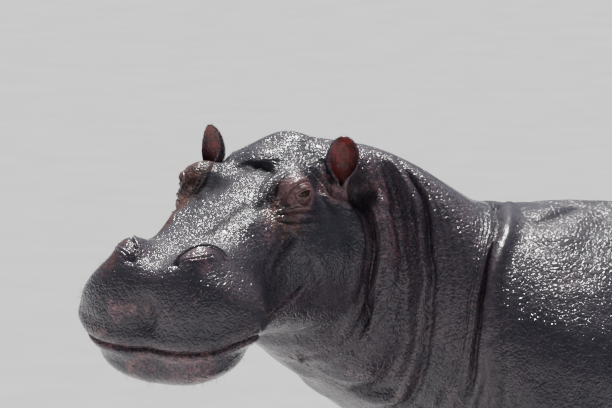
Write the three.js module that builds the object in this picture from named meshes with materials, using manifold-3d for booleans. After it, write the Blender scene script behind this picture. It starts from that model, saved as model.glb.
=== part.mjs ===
// A life-size adult hippopotamus, standing with its head raised and turned to its left.
// Millimetres, +Z up. The trunk lies along Y and faces -Y, so its left side is +X.
// The origin is the middle of the model's box, on the floor.
import * as THREE from "three";
import { mergeVertices } from "three/addons/utils/BufferGeometryUtils.js";
import Module from "manifold-3d";

// Driving dimensions.
const GAP = 0.45; // left between two pieces that meet
const WITHERS_HEIGHT = 1400;
const WITHERS_Y = -620;
const EYE_HEIGHT = 1496; // of the point midway between the eyes
const EYE_SPACING = 336; // between the eyeballs' centres
const EYE_RADIUS = 24;
const EYE_FACING = 20; // degrees forward from straight sideways
const HEAD_PLACE = new THREE.Vector3(223, WITHERS_Y - 783, EYE_HEIGHT);
const HEAD_TURN = 47; // degrees to the left of the trunk
const HEAD_NOD = 12; // degrees, nose down
const HEAD_TILT = 2.5; // degrees, left side down
const EAR_HEIGHT = 158;
const FORELEG_Y = WITHERS_Y + 70;
const HINDLEG_Y = 810;
const LEG_X = 325; // from the middle of the body to each foot
const FORE_STEP = 70; // how far each forefoot is ahead of or behind FORELEG_Y
const HIND_STEP = 55;
const TAIL_LENGTH = 400;
const TOE_SPREAD = 36; // degrees between neighbouring toes

const FLESH = new THREE.Color(0x4a4147);
const FACE = new THREE.Color(0x564549);
const EAR_FLESH = new THREE.Color(0x6b3a36);
const NAIL = new THREE.Color(0x3a332f);
const EYE = new THREE.Color(0x2a1a12);

const wasm = await Module();
wasm.setup();
const rad = THREE.MathUtils.degToRad;

// ---- Solids from three.js geometry, and back ----

function solidOf(geometry) {
  const bare = geometry.clone();
  bare.deleteAttribute("normal");
  bare.deleteAttribute("uv");
  const merged = mergeVertices(bare, 1e-3);
  return new wasm.Manifold(
    new wasm.Mesh({
      numProp: 3,
      vertProperties: merged.attributes.position.array,
      triVerts: new Uint32Array(merged.index.array),
    }),
  );
}

function geometryOf(solid) {
  const mesh = solid.getMesh();
  const geometry = new THREE.BufferGeometry();
  geometry.setAttribute("position", new THREE.BufferAttribute(mesh.vertProperties, 3));
  geometry.setIndex(new THREE.BufferAttribute(mesh.triVerts, 1));
  geometry.computeVertexNormals();
  return geometry;
}

function joined(solids) {
  return solids.reduce((whole, one) => whole.add(one));
}

// The same solid with its surface moved out by the gap, for cutting its neighbours clear of it.
function swollen(solid) {
  const geometry = geometryOf(solid);
  const { position, normal } = geometry.attributes;
  for (let i = 0; i < position.count; i++) {
    const out = new THREE.Vector3().fromBufferAttribute(normal, i).multiplyScalar(GAP);
    const moved = new THREE.Vector3().fromBufferAttribute(position, i).add(out);
    position.setXYZ(i, ...moved);
  }
  return solidOf(geometry);
}

function meshOf(name, solid, color, roughness = 0.55) {
  const material = new THREE.MeshStandardMaterial({ color, roughness, metalness: 0 });
  const mesh = new THREE.Mesh(geometryOf(solid), material);
  mesh.name = name;
  return mesh;
}

// A closed surface over rings of equal point counts, each end closed by a fan.
function loft(rings) {
  const count = rings[0].length;
  const middle = (ring) =>
    ring.reduce((sum, p) => sum.add(p), new THREE.Vector3()).divideScalar(count);
  const points = [...rings.flat(), middle(rings[0]), middle(rings.at(-1))];
  const [first, last] = [points.length - 2, points.length - 1];
  const index = [];
  for (let r = 0; r < rings.length - 1; r++) {
    for (let i = 0; i < count; i++) {
      const [a, b] = [r * count + i, r * count + ((i + 1) % count)];
      index.push(a, b, b + count, a, b + count, a + count);
    }
  }
  const top = (rings.length - 1) * count;
  for (let i = 0; i < count; i++) {
    const next = (i + 1) % count;
    index.push(first, next, i, last, top + i, top + next);
  }
  const geometry = new THREE.BufferGeometry().setFromPoints(points);
  geometry.setIndex(index);
  return outward(geometry);
}

// The same geometry with its faces turned round if they point inwards.
function outward(geometry) {
  const { position } = geometry.attributes;
  const index = geometry.index.array;
  const [a, b, c] = [new THREE.Vector3(), new THREE.Vector3(), new THREE.Vector3()];
  let volume = 0;
  for (let i = 0; i < index.length; i += 3) {
    a.fromBufferAttribute(position, index[i]);
    b.fromBufferAttribute(position, index[i + 1]);
    c.fromBufferAttribute(position, index[i + 2]);
    volume += a.dot(b.cross(c));
  }
  if (volume < 0) geometry.setIndex(Array.from(index).reverse());
  return geometry;
}

// Stations hold the same named numbers. This fills in `steps` more between each two of them.
function fillIn(stations, steps) {
  const names = Object.keys(stations[0]);
  const values = stations.flatMap((station) => names.map((name) => station[name]));
  const spline = new THREE.CubicInterpolant(stations.map((_, i) => i), values, names.length);
  const filled = [];
  for (let k = 0; k <= (stations.length - 1) * steps; k++) {
    const found = spline.evaluate(k / steps);
    filled.push(Object.fromEntries(names.map((name, i) => [name, found[i]])));
  }
  return filled;
}

// A body's cross-section, upright across the way it faces: half its width at five depths.
function crossSection(s, count) {
  const depth = s.top - s.bottom;
  const side = [
    [s.crest, s.top - 0.045 * depth],
    [s.upper, s.top - 0.2 * depth],
    [s.mid, s.top - 0.52 * depth],
    [s.lower, s.top - 0.82 * depth],
    [0.55 * s.lower, s.bottom + 0.03 * depth],
  ];
  const outline = [
    [0, s.top],
    ...side,
    [0, s.bottom],
    ...side.map(([w, z]) => [-w, z]).reverse(),
  ].map(([w, z]) => new THREE.Vector3(w, 0, z));
  const curve = new THREE.CatmullRomCurve3(outline, true, "centripetal");
  const place = new THREE.Matrix4().makeTranslation(s.x, s.y, 0);
  place.multiply(new THREE.Matrix4().makeRotationZ(rad(s.turn)));
  return Array.from({ length: count }, (_, i) => {
    const t = i / count;
    // nearer each other along the back than under the belly
    const along = t - (s.backBias * Math.sin(2 * Math.PI * t)) / (2 * Math.PI);
    return curve.getPointAt(along).applyMatrix4(place);
  });
}

// A lump pushes the surface round a point, fading out over its reach.
function pushed(p, lumps) {
  const move = new THREE.Vector3();
  for (const { at, reach, push } of lumps) {
    const far = new THREE.Vector3(...at).sub(p).divide(new THREE.Vector3(...reach)).lengthSq();
    move.addScaledVector(new THREE.Vector3(...push), Math.exp(-(far ** 1.25)));
  }
  return p.add(move);
}

function onBothSides(lumps) {
  const across = ({ at, reach, push }) => ({
    at: [-at[0], at[1], at[2]],
    reach,
    push: [-push[0], push[1], push[2]],
  });
  return lumps.flatMap((lump) => (lump.at[0] === 0 ? [lump] : [lump, across(lump)]));
}

function bodyLoft(stations, lumps, count, steps) {
  const rings = fillIn(stations, steps).map((s) => crossSection(s, count));
  return solidOf(loft(rings.map((ring) => ring.map((p) => pushed(p, lumps)))));
}

// An egg with the half-sizes given, turned by Euler angles in degrees.
function egg(place, halves, turns = [0, 0, 0], segments = [16, 10]) {
  const geometry = new THREE.SphereGeometry(1, ...segments);
  geometry.rotateX(Math.PI / 2); // its poles along Z
  geometry.scale(...halves);
  geometry.applyMatrix4(
    new THREE.Matrix4().makeRotationFromEuler(new THREE.Euler(...turns.map(rad), "ZYX")),
  );
  geometry.translate(...place);
  return solidOf(geometry);
}

// ---- Head, in its own frame: origin midway between the eyes, facing -Y, jaw level ----

const HEAD_STATIONS = [
  { y: 335, top: -40, bottom: -260, crest: 40, upper: 70, mid: 90, lower: 70 },
  { y: 270, top: 40, bottom: -412, crest: 100, upper: 160, mid: 218, lower: 178 },
  { y: 185, top: 54, bottom: -442, crest: 118, upper: 186, mid: 257, lower: 222 },
  { y: 115, top: 44, bottom: -438, crest: 117, upper: 184, mid: 262, lower: 222 },
  { y: 70, top: 34, bottom: -426, crest: 106, upper: 178, mid: 252, lower: 212 },
  { y: 30, top: 25, bottom: -413, crest: 96, upper: 174, mid: 238, lower: 198 },
  { y: -10, top: 18, bottom: -400, crest: 92, upper: 172, mid: 222, lower: 184 },
  { y: -50, top: 10, bottom: -390, crest: 94, upper: 173, mid: 208, lower: 171 },
  { y: -95, top: 1, bottom: -382, crest: 98, upper: 174, mid: 195, lower: 158 },
  { y: -150, top: -13, bottom: -375, crest: 101, upper: 171, mid: 184, lower: 147 },
  { y: -215, top: -29, bottom: -372, crest: 104, upper: 166, mid: 180, lower: 144 },
  { y: -285, top: -45, bottom: -379, crest: 118, upper: 173, mid: 202, lower: 159 },
  { y: -355, top: -52, bottom: -389, crest: 138, upper: 198, mid: 230, lower: 177 },
  { y: -425, top: -52, bottom: -394, crest: 148, upper: 210, mid: 240, lower: 186 },
  { y: -483, top: -58, bottom: -388, crest: 136, upper: 196, mid: 224, lower: 180 },
  { y: -520, top: -86, bottom: -368, crest: 104, upper: 158, mid: 186, lower: 150 },
  { y: -543, top: -135, bottom: -332, crest: 62, upper: 102, mid: 124, lower: 98 },
  { y: -552, top: -190, bottom: -290, crest: 30, upper: 48, mid: 58, lower: 46 },
].map((s) => ({ x: 0, turn: 0, backBias: 0.42, ...s }));

const HEAD_LUMPS = onBothSides([
  // crown, peaked along the middle
  { at: [0, 190, 60], reach: [62, 130, 80], push: [0, 0, 34] },
  // brow and eye mound
  { at: [139, 10, -16], reach: [58, 68, 84], push: [26, 0, 70] },
  // lower lid and the fold under it
  { at: [180, -8, -44], reach: [36, 50, 34], push: [16, -2, 4] },
  // hollow behind the eye, ahead of the ear
  { at: [176, 108, -10], reach: [50, 36, 50], push: [-16, 0, -12] },
  // nostril mound
  { at: [90, -450, -55], reach: [42, 50, 60], push: [0, 0, 22] },
  { at: [114, -392, -55], reach: [42, 60, 60], push: [0, 0, 30] },
  // hollow between the nostrils
  { at: [0, -430, -52], reach: [34, 90, 40], push: [0, 0, -14] },
  // hollow between the muzzle and the cheek
  { at: [200, -130, -150], reach: [50, 46, 70], push: [-14, 0, 0] },
  // whisker pad over the canine
  { at: [230, -400, -210], reach: [70, 90, 80], push: [18, 0, -6] },
  // dip in the middle of the upper lip
  { at: [0, -560, -240], reach: [40, 60, 120], push: [0, 20, 0] },
]);

const sides = [
  { side: "left", s: 1 },
  { side: "right", s: -1 },
];

function headShape() {
  return bodyLoft(HEAD_STATIONS, HEAD_LUMPS, 38, 2);
}

function eyeSolid(s) {
  const halves = [EYE_RADIUS, EYE_RADIUS, EYE_RADIUS];
  return egg([(s * EYE_SPACING) / 2, 0, 0], halves, [0, 0, 0], [10, 8]);
}

// The lids' opening, in front of the eyeball.
function lidOpening(s) {
  const reach = EYE_RADIUS + 4;
  const x = EYE_SPACING / 2 + reach * Math.cos(rad(EYE_FACING));
  const y = -reach * Math.sin(rad(EYE_FACING));
  return egg([s * x, y, 1], [22, 23, 14], [0, 0, -s * EYE_FACING], [10, 7]);
}

// The mouth runs back from under the nose, over the canines, and up to its corner.
const MOUTH_LINE = [
  [-640, -276],
  [-540, -272],
  [-460, -250],
  [-380, -258],
  [-280, -286],
  [-180, -284],
  [-100, -252],
  [-60, -226],
];
const MOUTH_BACK = [
  [-25, -300],
  [60, -540],
];

function mouthCut() {
  const line = [...MOUTH_LINE, ...MOUTH_BACK].map(([y, z]) => new THREE.Vector2(y, z));
  const smooth = new THREE.SplineCurve(line).getPoints(20);
  const lower = smooth.map((p) => new THREE.Vector2(p.x, p.y - GAP)).reverse();
  const slit = new THREE.Shape([...smooth, ...lower.map((p) => new THREE.Vector2(p.x - GAP, p.y))]);
  const geometry = new THREE.ExtrudeGeometry(slit, { depth: 800, bevelEnabled: false });
  geometry.translate(0, 0, -400);
  // The shape's x and y become the head's y and z, and its depth the head's x.
  geometry.applyMatrix4(
    new THREE.Matrix4().makeBasis(
      new THREE.Vector3(0, 1, 0),
      new THREE.Vector3(0, 0, 1),
      new THREE.Vector3(1, 0, 0),
    ),
  );
  return solidOf(geometry);
}

// A cup on a short stalk, open to the front. Its own frame has the stalk's foot at the origin.
const EAR_FOOT = [196, 172, -62];
const EAR_LEAN = -11; // degrees back, which is upright once the head nods
const EAR_FACING = 18; // degrees outwards

function earSolid(s) {
  const cup = egg([0, 2, EAR_HEIGHT - 80], [41, 27, 80], [0, 0, 0], [12, 7]);
  const hollow = egg([0, -17, EAR_HEIGHT - 68], [30, 25, 58], [0, 0, 0], [8, 6]);
  const stalk = new THREE.CylinderGeometry(27, 30, 80, 9);
  stalk.rotateX(Math.PI / 2);
  stalk.translate(0, 6, 6);
  const place = new THREE.Matrix4()
    .makeTranslation(s * EAR_FOOT[0], EAR_FOOT[1], EAR_FOOT[2])
    .multiply(new THREE.Matrix4().makeRotationX(rad(EAR_LEAN)))
    .multiply(new THREE.Matrix4().makeRotationZ(rad(s * EAR_FACING)));
  const ear = solidOf(stalk).add(cup).subtract(hollow);
  return solidOf(geometryOf(ear).applyMatrix4(place));
}

// ---- Trunk and neck ----

// The neck leaves the withers straight ahead and bends to the left, more and more towards the head.
const BODY_STATIONS = [
  { x: 110, y: -700, turn: 47, top: 1530, bottom: 1130, crest: 80, upper: 120, mid: 150, lower: 110 },
  { x: 82, y: -655, turn: 45, top: 1584, bottom: 1050, crest: 140, upper: 190, mid: 232, lower: 176 },
  { x: 55, y: -560, turn: 39, top: 1596, bottom: 985, crest: 160, upper: 226, mid: 282, lower: 230 },
  { x: 36, y: -450, turn: 29, top: 1586, bottom: 890, crest: 168, upper: 258, mid: 330, lower: 276 },
  { x: 20, y: -320, turn: 17, top: 1538, bottom: 780, crest: 184, upper: 300, mid: 382, lower: 322 },
  { x: 8, y: -190, turn: 8, top: 1464, bottom: 660, crest: 204, upper: 344, mid: 434, lower: 364 },
  { x: 0, y: -60, turn: 2, top: 1402, bottom: 560, crest: 232, upper: 384, mid: 476, lower: 398 },
  { x: 0, y: 90, turn: 0, top: WITHERS_HEIGHT, bottom: 486, crest: 246, upper: 414, mid: 506, lower: 424 },
  { x: 0, y: 380, turn: 0, top: 1384, bottom: 410, crest: 241, upper: 418, mid: 521, lower: 439 },
  { x: 0, y: 740, turn: 0, top: 1368, bottom: 360, crest: 246, upper: 435, mid: 554, lower: 470 },
  { x: 0, y: 1090, turn: 0, top: 1384, bottom: 362, crest: 241, upper: 426, mid: 546, lower: 458 },
  { x: 0, y: 1370, turn: 0, top: 1386, bottom: 430, crest: 222, upper: 392, mid: 512, lower: 414 },
  { x: 0, y: 1600, turn: 0, top: 1326, bottom: 535, crest: 178, upper: 325, mid: 437, lower: 340 },
  { x: 0, y: 1760, turn: 0, top: 1212, bottom: 665, crest: 120, upper: 229, mid: 315, lower: 233 },
  { x: 0, y: 1838, turn: 0, top: 1085, bottom: 800, crest: 63, upper: 119, mid: 164, lower: 118 },
  { x: 0, y: 1862, turn: 0, top: 995, bottom: 890, crest: 23, upper: 44, mid: 57, lower: 44 },
].map((s) => ({ backBias: 0.15, ...s, y: s.y + WITHERS_Y }));

const BODY_LUMPS = onBothSides([
  // shoulder
  { at: [480, FORELEG_Y + 20, 900], reach: [200, 190, 330], push: [46, 0, 0] },
  // hollow behind the shoulder
  { at: [520, FORELEG_Y + 330, 900], reach: [200, 130, 300], push: [-16, 0, 0] },
  // thigh
  { at: [500, HINDLEG_Y - 10, 820], reach: [200, 230, 330], push: [56, 0, 0] },
  // flank ahead of the thigh
  { at: [520, HINDLEG_Y - 330, 720], reach: [200, 150, 260], push: [-22, 0, 0] },
  // hip
  { at: [250, HINDLEG_Y - 40, 1360], reach: [130, 170, 120], push: [0, 0, 16] },
]);

function bodyShape() {
  return bodyLoft(BODY_STATIONS, BODY_LUMPS, 28, 2);
}

// The neck and the trunk meet on an upright plane just ahead of the shoulders.
const NECK_END_Y = WITHERS_Y - 110;
const NECK_END_X = 2;
const NECK_END_TURN = 5;

function neckCut() {
  const plate = new THREE.BoxGeometry(1600, GAP, 1800);
  plate.rotateZ(rad(NECK_END_TURN));
  plate.translate(NECK_END_X, NECK_END_Y, 900);
  return solidOf(plate);
}

// ---- Legs ----

// From inside the trunk down to the flat of the foot. `ahead` is how far forward of the foot each
// level is, and the halves are across and along the body.
const FORELEG_LEVELS = [
  { z: 800, out: -80, ahead: 6, across: 110, along: 150 },
  { z: 650, out: -34, ahead: -10, across: 154, along: 205 },
  { z: 500, out: -2, ahead: -22, across: 162, along: 198 },
  { z: 370, out: 8, ahead: -18, across: 140, along: 158 },
  { z: 250, out: 4, ahead: -6, across: 116, along: 124 },
  { z: 160, out: 2, ahead: -4, across: 110, along: 116 },
  { z: 90, out: 0, ahead: 0, across: 120, along: 126 },
  { z: 30, out: 0, ahead: 4, across: 130, along: 134 },
  { z: 0, out: 0, ahead: 4, across: 126, along: 130 },
];
const HINDLEG_LEVELS = [
  { z: 800, out: -90, ahead: 40, across: 120, along: 200 },
  { z: 655, out: -34, ahead: 36, across: 166, along: 245 },
  { z: 515, out: -2, ahead: 20, across: 168, along: 222 },
  { z: 390, out: 8, ahead: -18, across: 142, along: 168 },
  { z: 270, out: 4, ahead: -44, across: 114, along: 130 },
  { z: 175, out: 2, ahead: -34, across: 104, along: 112 },
  { z: 95, out: 0, ahead: -12, across: 113, along: 118 },
  { z: 30, out: 0, ahead: 0, across: 122, along: 126 },
  { z: 0, out: 0, ahead: 0, across: 118, along: 122 },
];
const TOE_SWELL = 15; // how far a toe stands out from the foot
const TOE_TOP = 130; // where the toes have faded into the wrist
const NAIL_DEPTH = 0; // how far a nail's middle is inside the foot
const NAIL_HALVES = [30, 28, 35];

// How far a toe stands out at an angle from straight ahead.
function toeSwell(degrees, z) {
  if (Math.abs(degrees) > 2 * TOE_SPREAD) return 0;
  const ridge = Math.cos((2 * Math.PI * (degrees / TOE_SPREAD - 0.5)));
  return TOE_SWELL * ridge * Math.max(0, 1 - z / TOE_TOP);
}

function legRing({ z, out, ahead, across, along }, s, place) {
  const count = 20;
  return Array.from({ length: count }, (_, i) => {
    const a = (2 * Math.PI * i) / count;
    const swell = toeSwell((360 * i) / count - 180, z);
    return new THREE.Vector3(
      place.x + s * out - (across + swell) * Math.sin(a),
      place.y - ahead + (along + swell) * Math.cos(a),
      z,
    );
  });
}

// Four nails fan out round the front of the foot, which is `reach` across on each side.
function nailSolids(place, reach) {
  return [-1.5, -0.5, 0.5, 1.5].map((k) => {
    const spread = rad(k * TOE_SPREAD);
    const ahead = new THREE.Vector3(Math.sin(spread), -Math.cos(spread), 0);
    const middle = new THREE.Vector3(place.x, place.y, 34).addScaledVector(ahead, reach - NAIL_DEPTH);
    const nail = egg(middle.toArray(), NAIL_HALVES, [-16, 0, k * TOE_SPREAD], [6, 4]);
    return nail.subtract(underFloor());
  });
}

function underFloor() {
  return solidOf(new THREE.BoxGeometry(4000, 6000, 400).translate(0, 0, -200));
}

function legShape(levels, s, place) {
  return solidOf(loft(levels.map((level) => legRing(level, s, place))));
}

const LEGS = sides.flatMap(({ side, s }) => [
  {
    name: `foreleg_${side}`,
    levels: FORELEG_LEVELS,
    s,
    place: { x: s * LEG_X, y: FORELEG_Y - s * FORE_STEP },
  },
  {
    name: `hindleg_${side}`,
    levels: HINDLEG_LEVELS,
    s,
    place: { x: s * (LEG_X - 10), y: HINDLEG_Y + s * HIND_STEP },
  },
]);

// ---- Tail: flattened from side to side, and hanging close to the rump ----

function tailSolid() {
  const root = new THREE.Vector3(0, 1170, 1150);
  const path = new THREE.CatmullRomCurve3([
    root,
    root.clone().add(new THREE.Vector3(0, 78, -70)),
    root.clone().add(new THREE.Vector3(0, 112, -190)),
    root.clone().add(new THREE.Vector3(0, 112, -190 - TAIL_LENGTH / 2)),
    root.clone().add(new THREE.Vector3(0, 106, -120 - TAIL_LENGTH)),
  ]);
  const levels = 8;
  const count = 8;
  const rings = path.getSpacedPoints(levels).map((p, k) => {
    const t = k / levels;
    const halfWidth = THREE.MathUtils.lerp(48, 11, Math.sqrt(t));
    const halfDepth = THREE.MathUtils.lerp(52, 26, t) * (k === levels ? 0.6 : 1);
    const along = path.getTangentAt(t);
    const back = new THREE.Vector3(1, 0, 0).cross(along).normalize();
    return Array.from({ length: count }, (_, i) => {
      const a = (2 * Math.PI * i) / count;
      const across = new THREE.Vector3(halfWidth * Math.cos(a), 0, 0);
      return p.clone().add(across).addScaledVector(back, halfDepth * Math.sin(a));
    });
  });
  return solidOf(loft(rings));
}

// ---- Putting it together ----

const headMatrix = new THREE.Matrix4()
  .makeRotationFromEuler(new THREE.Euler(rad(HEAD_NOD), rad(HEAD_TILT), rad(HEAD_TURN), "ZXY"))
  .setPosition(HEAD_PLACE);

function largestOf(solid) {
  return solid.decompose().reduce((a, b) => (a.volume() > b.volume() ? a : b));
}

function headNodes() {
  const sockets = joined(sides.flatMap(({ s }) => [swollen(eyeSolid(s)), lidOpening(s)]));
  const [upper, jaw] = headShape()
    .subtract(mouthCut())
    .decompose()
    .sort((a, b) => b.volume() - a.volume());
  const clearance = swollen(headShape());
  const nodes = [
    meshOf("head", largestOf(upper.subtract(sockets)), FACE),
    meshOf("lower_jaw", jaw, FACE),
  ];
  for (const { side, s } of sides) {
    nodes.push(meshOf(`eye_${side}`, eyeSolid(s), EYE, 0.08));
    nodes.push(meshOf(`ear_${side}`, largestOf(earSolid(s).subtract(clearance)), EAR_FLESH));
  }
  return nodes;
}

function bodyNodes() {
  const headAndEars = joined([headShape(), ...sides.map(({ s }) => earSolid(s))].map(swollen));
  const headInPlace = solidOf(geometryOf(headAndEars).applyMatrix4(headMatrix));
  const parts = bodyShape()
    .subtract(headInPlace)
    .subtract(neckCut())
    .decompose()
    .sort((a, b) => b.volume() - a.volume());
  const clearance = swollen(bodyShape());
  const nodes = [meshOf("trunk", parts[0], FLESH), meshOf("neck", parts[1], FLESH)];
  for (const { name, levels, s, place } of LEGS) {
    const nails = nailSolids(place, levels.at(-1).across);
    const leg = legShape(levels, s, place)
      .subtract(clearance)
      .subtract(underFloor())
      .subtract(joined(nails.map(swollen)));
    nodes.push(meshOf(name, largestOf(leg), FLESH));
    nails.forEach((nail, i) => nodes.push(meshOf(`nail_${name}_${i + 1}`, nail, NAIL, 0.4)));
  }
  nodes.push(meshOf("tail", largestOf(tailSolid().subtract(clearance)), FLESH));
  return nodes;
}

const headGroup = new THREE.Group();
headGroup.applyMatrix4(headMatrix);
headGroup.add(...headNodes());

const animal = new THREE.Group();
animal.add(headGroup, ...bodyNodes());

// The box's middle comes to the origin, and its lowest face to the floor.
animal.updateMatrixWorld(true);
const box = new THREE.Box3().setFromObject(animal, true);
const middle = box.getCenter(new THREE.Vector3());
animal.position.set(-middle.x, -middle.y, -box.min.z);

const hippopotamus = new THREE.Group();
hippopotamus.add(animal);

export default hippopotamus;
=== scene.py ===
"""A still, life-size hippopotamus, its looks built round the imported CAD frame.

One wet skin replaces the nodes of flesh, and eyeballs, toenails and bristles are pieces of
their own. Sizes are in metres; the head's features are laid out in the head's own frame.
"""

import itertools
import math

import bmesh
import bpy
import numpy as np
from mathutils import Matrix, Vector


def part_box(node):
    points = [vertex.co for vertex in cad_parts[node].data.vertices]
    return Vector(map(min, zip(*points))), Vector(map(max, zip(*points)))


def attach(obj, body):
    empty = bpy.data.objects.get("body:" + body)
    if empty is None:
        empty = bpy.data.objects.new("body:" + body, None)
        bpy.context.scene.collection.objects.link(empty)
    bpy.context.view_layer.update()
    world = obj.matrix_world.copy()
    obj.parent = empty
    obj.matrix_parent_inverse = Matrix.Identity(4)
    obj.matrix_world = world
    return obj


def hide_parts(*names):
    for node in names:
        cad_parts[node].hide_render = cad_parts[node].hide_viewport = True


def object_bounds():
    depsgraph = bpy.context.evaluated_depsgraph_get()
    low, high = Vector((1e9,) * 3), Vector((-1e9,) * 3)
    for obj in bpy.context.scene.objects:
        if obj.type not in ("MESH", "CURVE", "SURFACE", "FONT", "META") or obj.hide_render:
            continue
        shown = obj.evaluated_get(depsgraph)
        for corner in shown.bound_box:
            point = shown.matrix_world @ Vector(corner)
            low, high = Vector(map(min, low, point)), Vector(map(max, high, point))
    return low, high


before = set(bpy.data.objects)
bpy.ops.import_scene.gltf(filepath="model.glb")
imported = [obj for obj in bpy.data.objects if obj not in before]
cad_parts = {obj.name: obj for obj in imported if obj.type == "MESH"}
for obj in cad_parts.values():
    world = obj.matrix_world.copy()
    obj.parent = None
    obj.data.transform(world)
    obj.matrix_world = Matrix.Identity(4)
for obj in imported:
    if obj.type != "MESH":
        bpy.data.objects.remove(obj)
CAD_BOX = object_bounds()

MM = 0.001
SIDES = {"left": 1, "right": -1}
LEGS = [f"{pair}_{side}" for pair in ("foreleg", "hindleg") for side in SIDES]
TOES = range(1, 5)
NAILS = [f"nail_{leg}_{toe}" for leg in LEGS for toe in TOES]
FLESH = ["head", "lower_jaw", "neck", "trunk", "tail", *LEGS]

# The head's pose, as the frame has it: turned to its left, nose down, left side down.
HEAD_TURN, HEAD_NOD, HEAD_TILT = 47, 12, 2.5
EYE_FACING = 20  # degrees forward from straight sideways
EAR_FOOT = np.array([196, 172, -62]) * MM
EAR_LEAN = -11
EAR_FACING = {1: 18, -1: 22}  # the far ear is turned and tipped a little further out
EAR_TIP = {1: 0, -1: -8}
EAR_SINK = {1: 0, -1: 6 * MM}
TOE_SPREAD = 36  # degrees between neighbouring toes

JOIN_WITHIN = 1e-5  # corners nearer than this are one
SPACING = 10.0 * MM  # between the skin's first vertices, three times finer on the head
GAP_CLOSING = 1.5 * MM  # how far the flesh nodes swell before they are joined
BODY_SMOOTHING, EAR_SMOOTHING = 90, 3  # rounds


# ---- Places ----


def middle_of(node):
    low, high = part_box(node)
    return np.array((low + high) / 2)


def turned(degrees, axis):
    return np.array(Matrix.Rotation(math.radians(degrees), 3, axis))


MID_EYES = (middle_of("eye_left") + middle_of("eye_right")) / 2
EYE_OUT = float(np.linalg.norm(middle_of("eye_left") - MID_EYES))
EYE_RADIUS = float((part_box("eye_left")[1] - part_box("eye_left")[0]).z / 2)
HEAD_AXES = turned(HEAD_TURN, "Z") @ turned(HEAD_NOD, "X") @ turned(HEAD_TILT, "Y")


def to_head(points):
    """Head frame: origin midway between the eyes, x to the animal's left, -y ahead, z up."""
    return (points - MID_EYES) @ HEAD_AXES


def from_head(points):
    return points @ HEAD_AXES.T + MID_EYES


def toe_ahead(toe):
    """The way that a toe points, as seen from the middle of its foot."""
    spread = math.radians((toe - 2.5) * TOE_SPREAD)
    return np.array([math.sin(spread), -math.cos(spread), 0])


def foot_middle(leg):
    """The middle of the foot on the floor, from the nails that fan out round it."""
    first, last = middle_of(f"nail_{leg}_1"), middle_of(f"nail_{leg}_4")
    half_fan = math.radians(1.5 * TOE_SPREAD)
    reach = np.linalg.norm(last - first) / (2 * math.sin(half_fan))
    return (first + last) / 2 * (1, 1, 0) + (0, reach * math.cos(half_fan), 0)


# ---- Meshes as arrays ----


def array_of(items, name, kind=np.float32, width=3):
    found = np.empty(len(items) * width, kind)
    items.foreach_get(name, found)
    return found.reshape(-1, width)


def put_points(mesh, points):
    mesh.vertices.foreach_set("co", points.astype(np.float32).reshape(-1))
    mesh.update()


def unit(vectors):
    return vectors / (np.linalg.norm(vectors, axis=-1, keepdims=True) + 1e-12)


def merged_triangles(node):
    """A CAD node's corners, each once, and its triangles."""
    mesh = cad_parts[node].data
    mesh.calc_loop_triangles()
    points = array_of(mesh.vertices, "co").astype(float)
    triangles = array_of(mesh.loop_triangles, "vertices", np.int32)
    rounded = np.round(points / JOIN_WITHIN)
    _, first, place = np.unique(rounded, axis=0, return_index=True, return_inverse=True)
    return points[first], place.reshape(-1)[triangles]


def swollen(points, triangles, distance):
    """The points moved out along their normals."""
    a, b, c = (points[triangles[:, i]] for i in range(3))
    across = np.cross(b - a, c - a)
    normals = np.zeros_like(points)
    for i in range(3):
        np.add.at(normals, triangles[:, i], across)
    return points + distance * unit(normals)


def quartered(points, triangles):
    """Each triangle split into four at the middles of its edges."""
    edges = np.sort(triangles[:, [[0, 1], [1, 2], [2, 0]]].reshape(-1, 2), axis=1)
    unique, place = np.unique(edges, axis=0, return_inverse=True)
    middle = place.reshape(-1, 3) + len(points)
    points = np.concatenate([points, points[unique].mean(axis=1)])
    a, b, c = triangles.T
    ab, bc, ca = middle.T
    parts = [(a, ab, ca), (ab, b, bc), (ca, bc, c), (ab, bc, ca)]
    return points, np.concatenate([np.stack(part, axis=1) for part in parts])


def neighbour_table(mesh):
    """For each vertex its neighbours, filled up with itself, and how many it has."""
    count = len(mesh.vertices)
    edges = array_of(mesh.edges, "vertices", np.int32, 2)
    ends = np.concatenate([edges, edges[:, ::-1]])
    ends = ends[np.argsort(ends[:, 0], kind="stable")]
    degree = np.bincount(ends[:, 0], minlength=count)
    start = np.cumsum(degree) - degree
    column = np.arange(len(ends)) - np.repeat(start, degree)
    table = np.repeat(np.arange(count)[:, None], degree.max(), axis=1)
    table[ends[:, 0], column] = ends[:, 1]
    return table, degree


def smoothed(values, neighbours, amount, rounds):
    """Each value drawn towards the mean of its neighbours, round after round."""
    table, degree = neighbours
    spare = (table.shape[1] - degree)[:, None]
    amount = np.broadcast_to(amount, len(values))[:, None].astype(np.float32)
    for _ in range(rounds):
        total = values[table].sum(axis=1) - spare * values
        values = values + amount * (total / degree[:, None] - values)
    return values


def rise(value, low, high):
    """0 below low, 1 above high, and smooth between."""
    t = np.clip((value - low) / (high - low), 0, 1)
    return t * t * (3 - 2 * t)


def bump(value, middle, width):
    return np.exp(-(((value - middle) / width) ** 2))


def blob(places, middle, reach, width=1.0):
    """1 at a place, fading out over its reach along each axis."""
    return bump(np.linalg.norm((places - middle) / reach, axis=1), 0, width)


def either_side(share_of):
    """A share for the head's left or right side, whichever is the greater."""
    return np.maximum(share_of(1), share_of(-1))


HASH_PRIMES = np.array([73856093, 19349663, 83492791])


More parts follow.
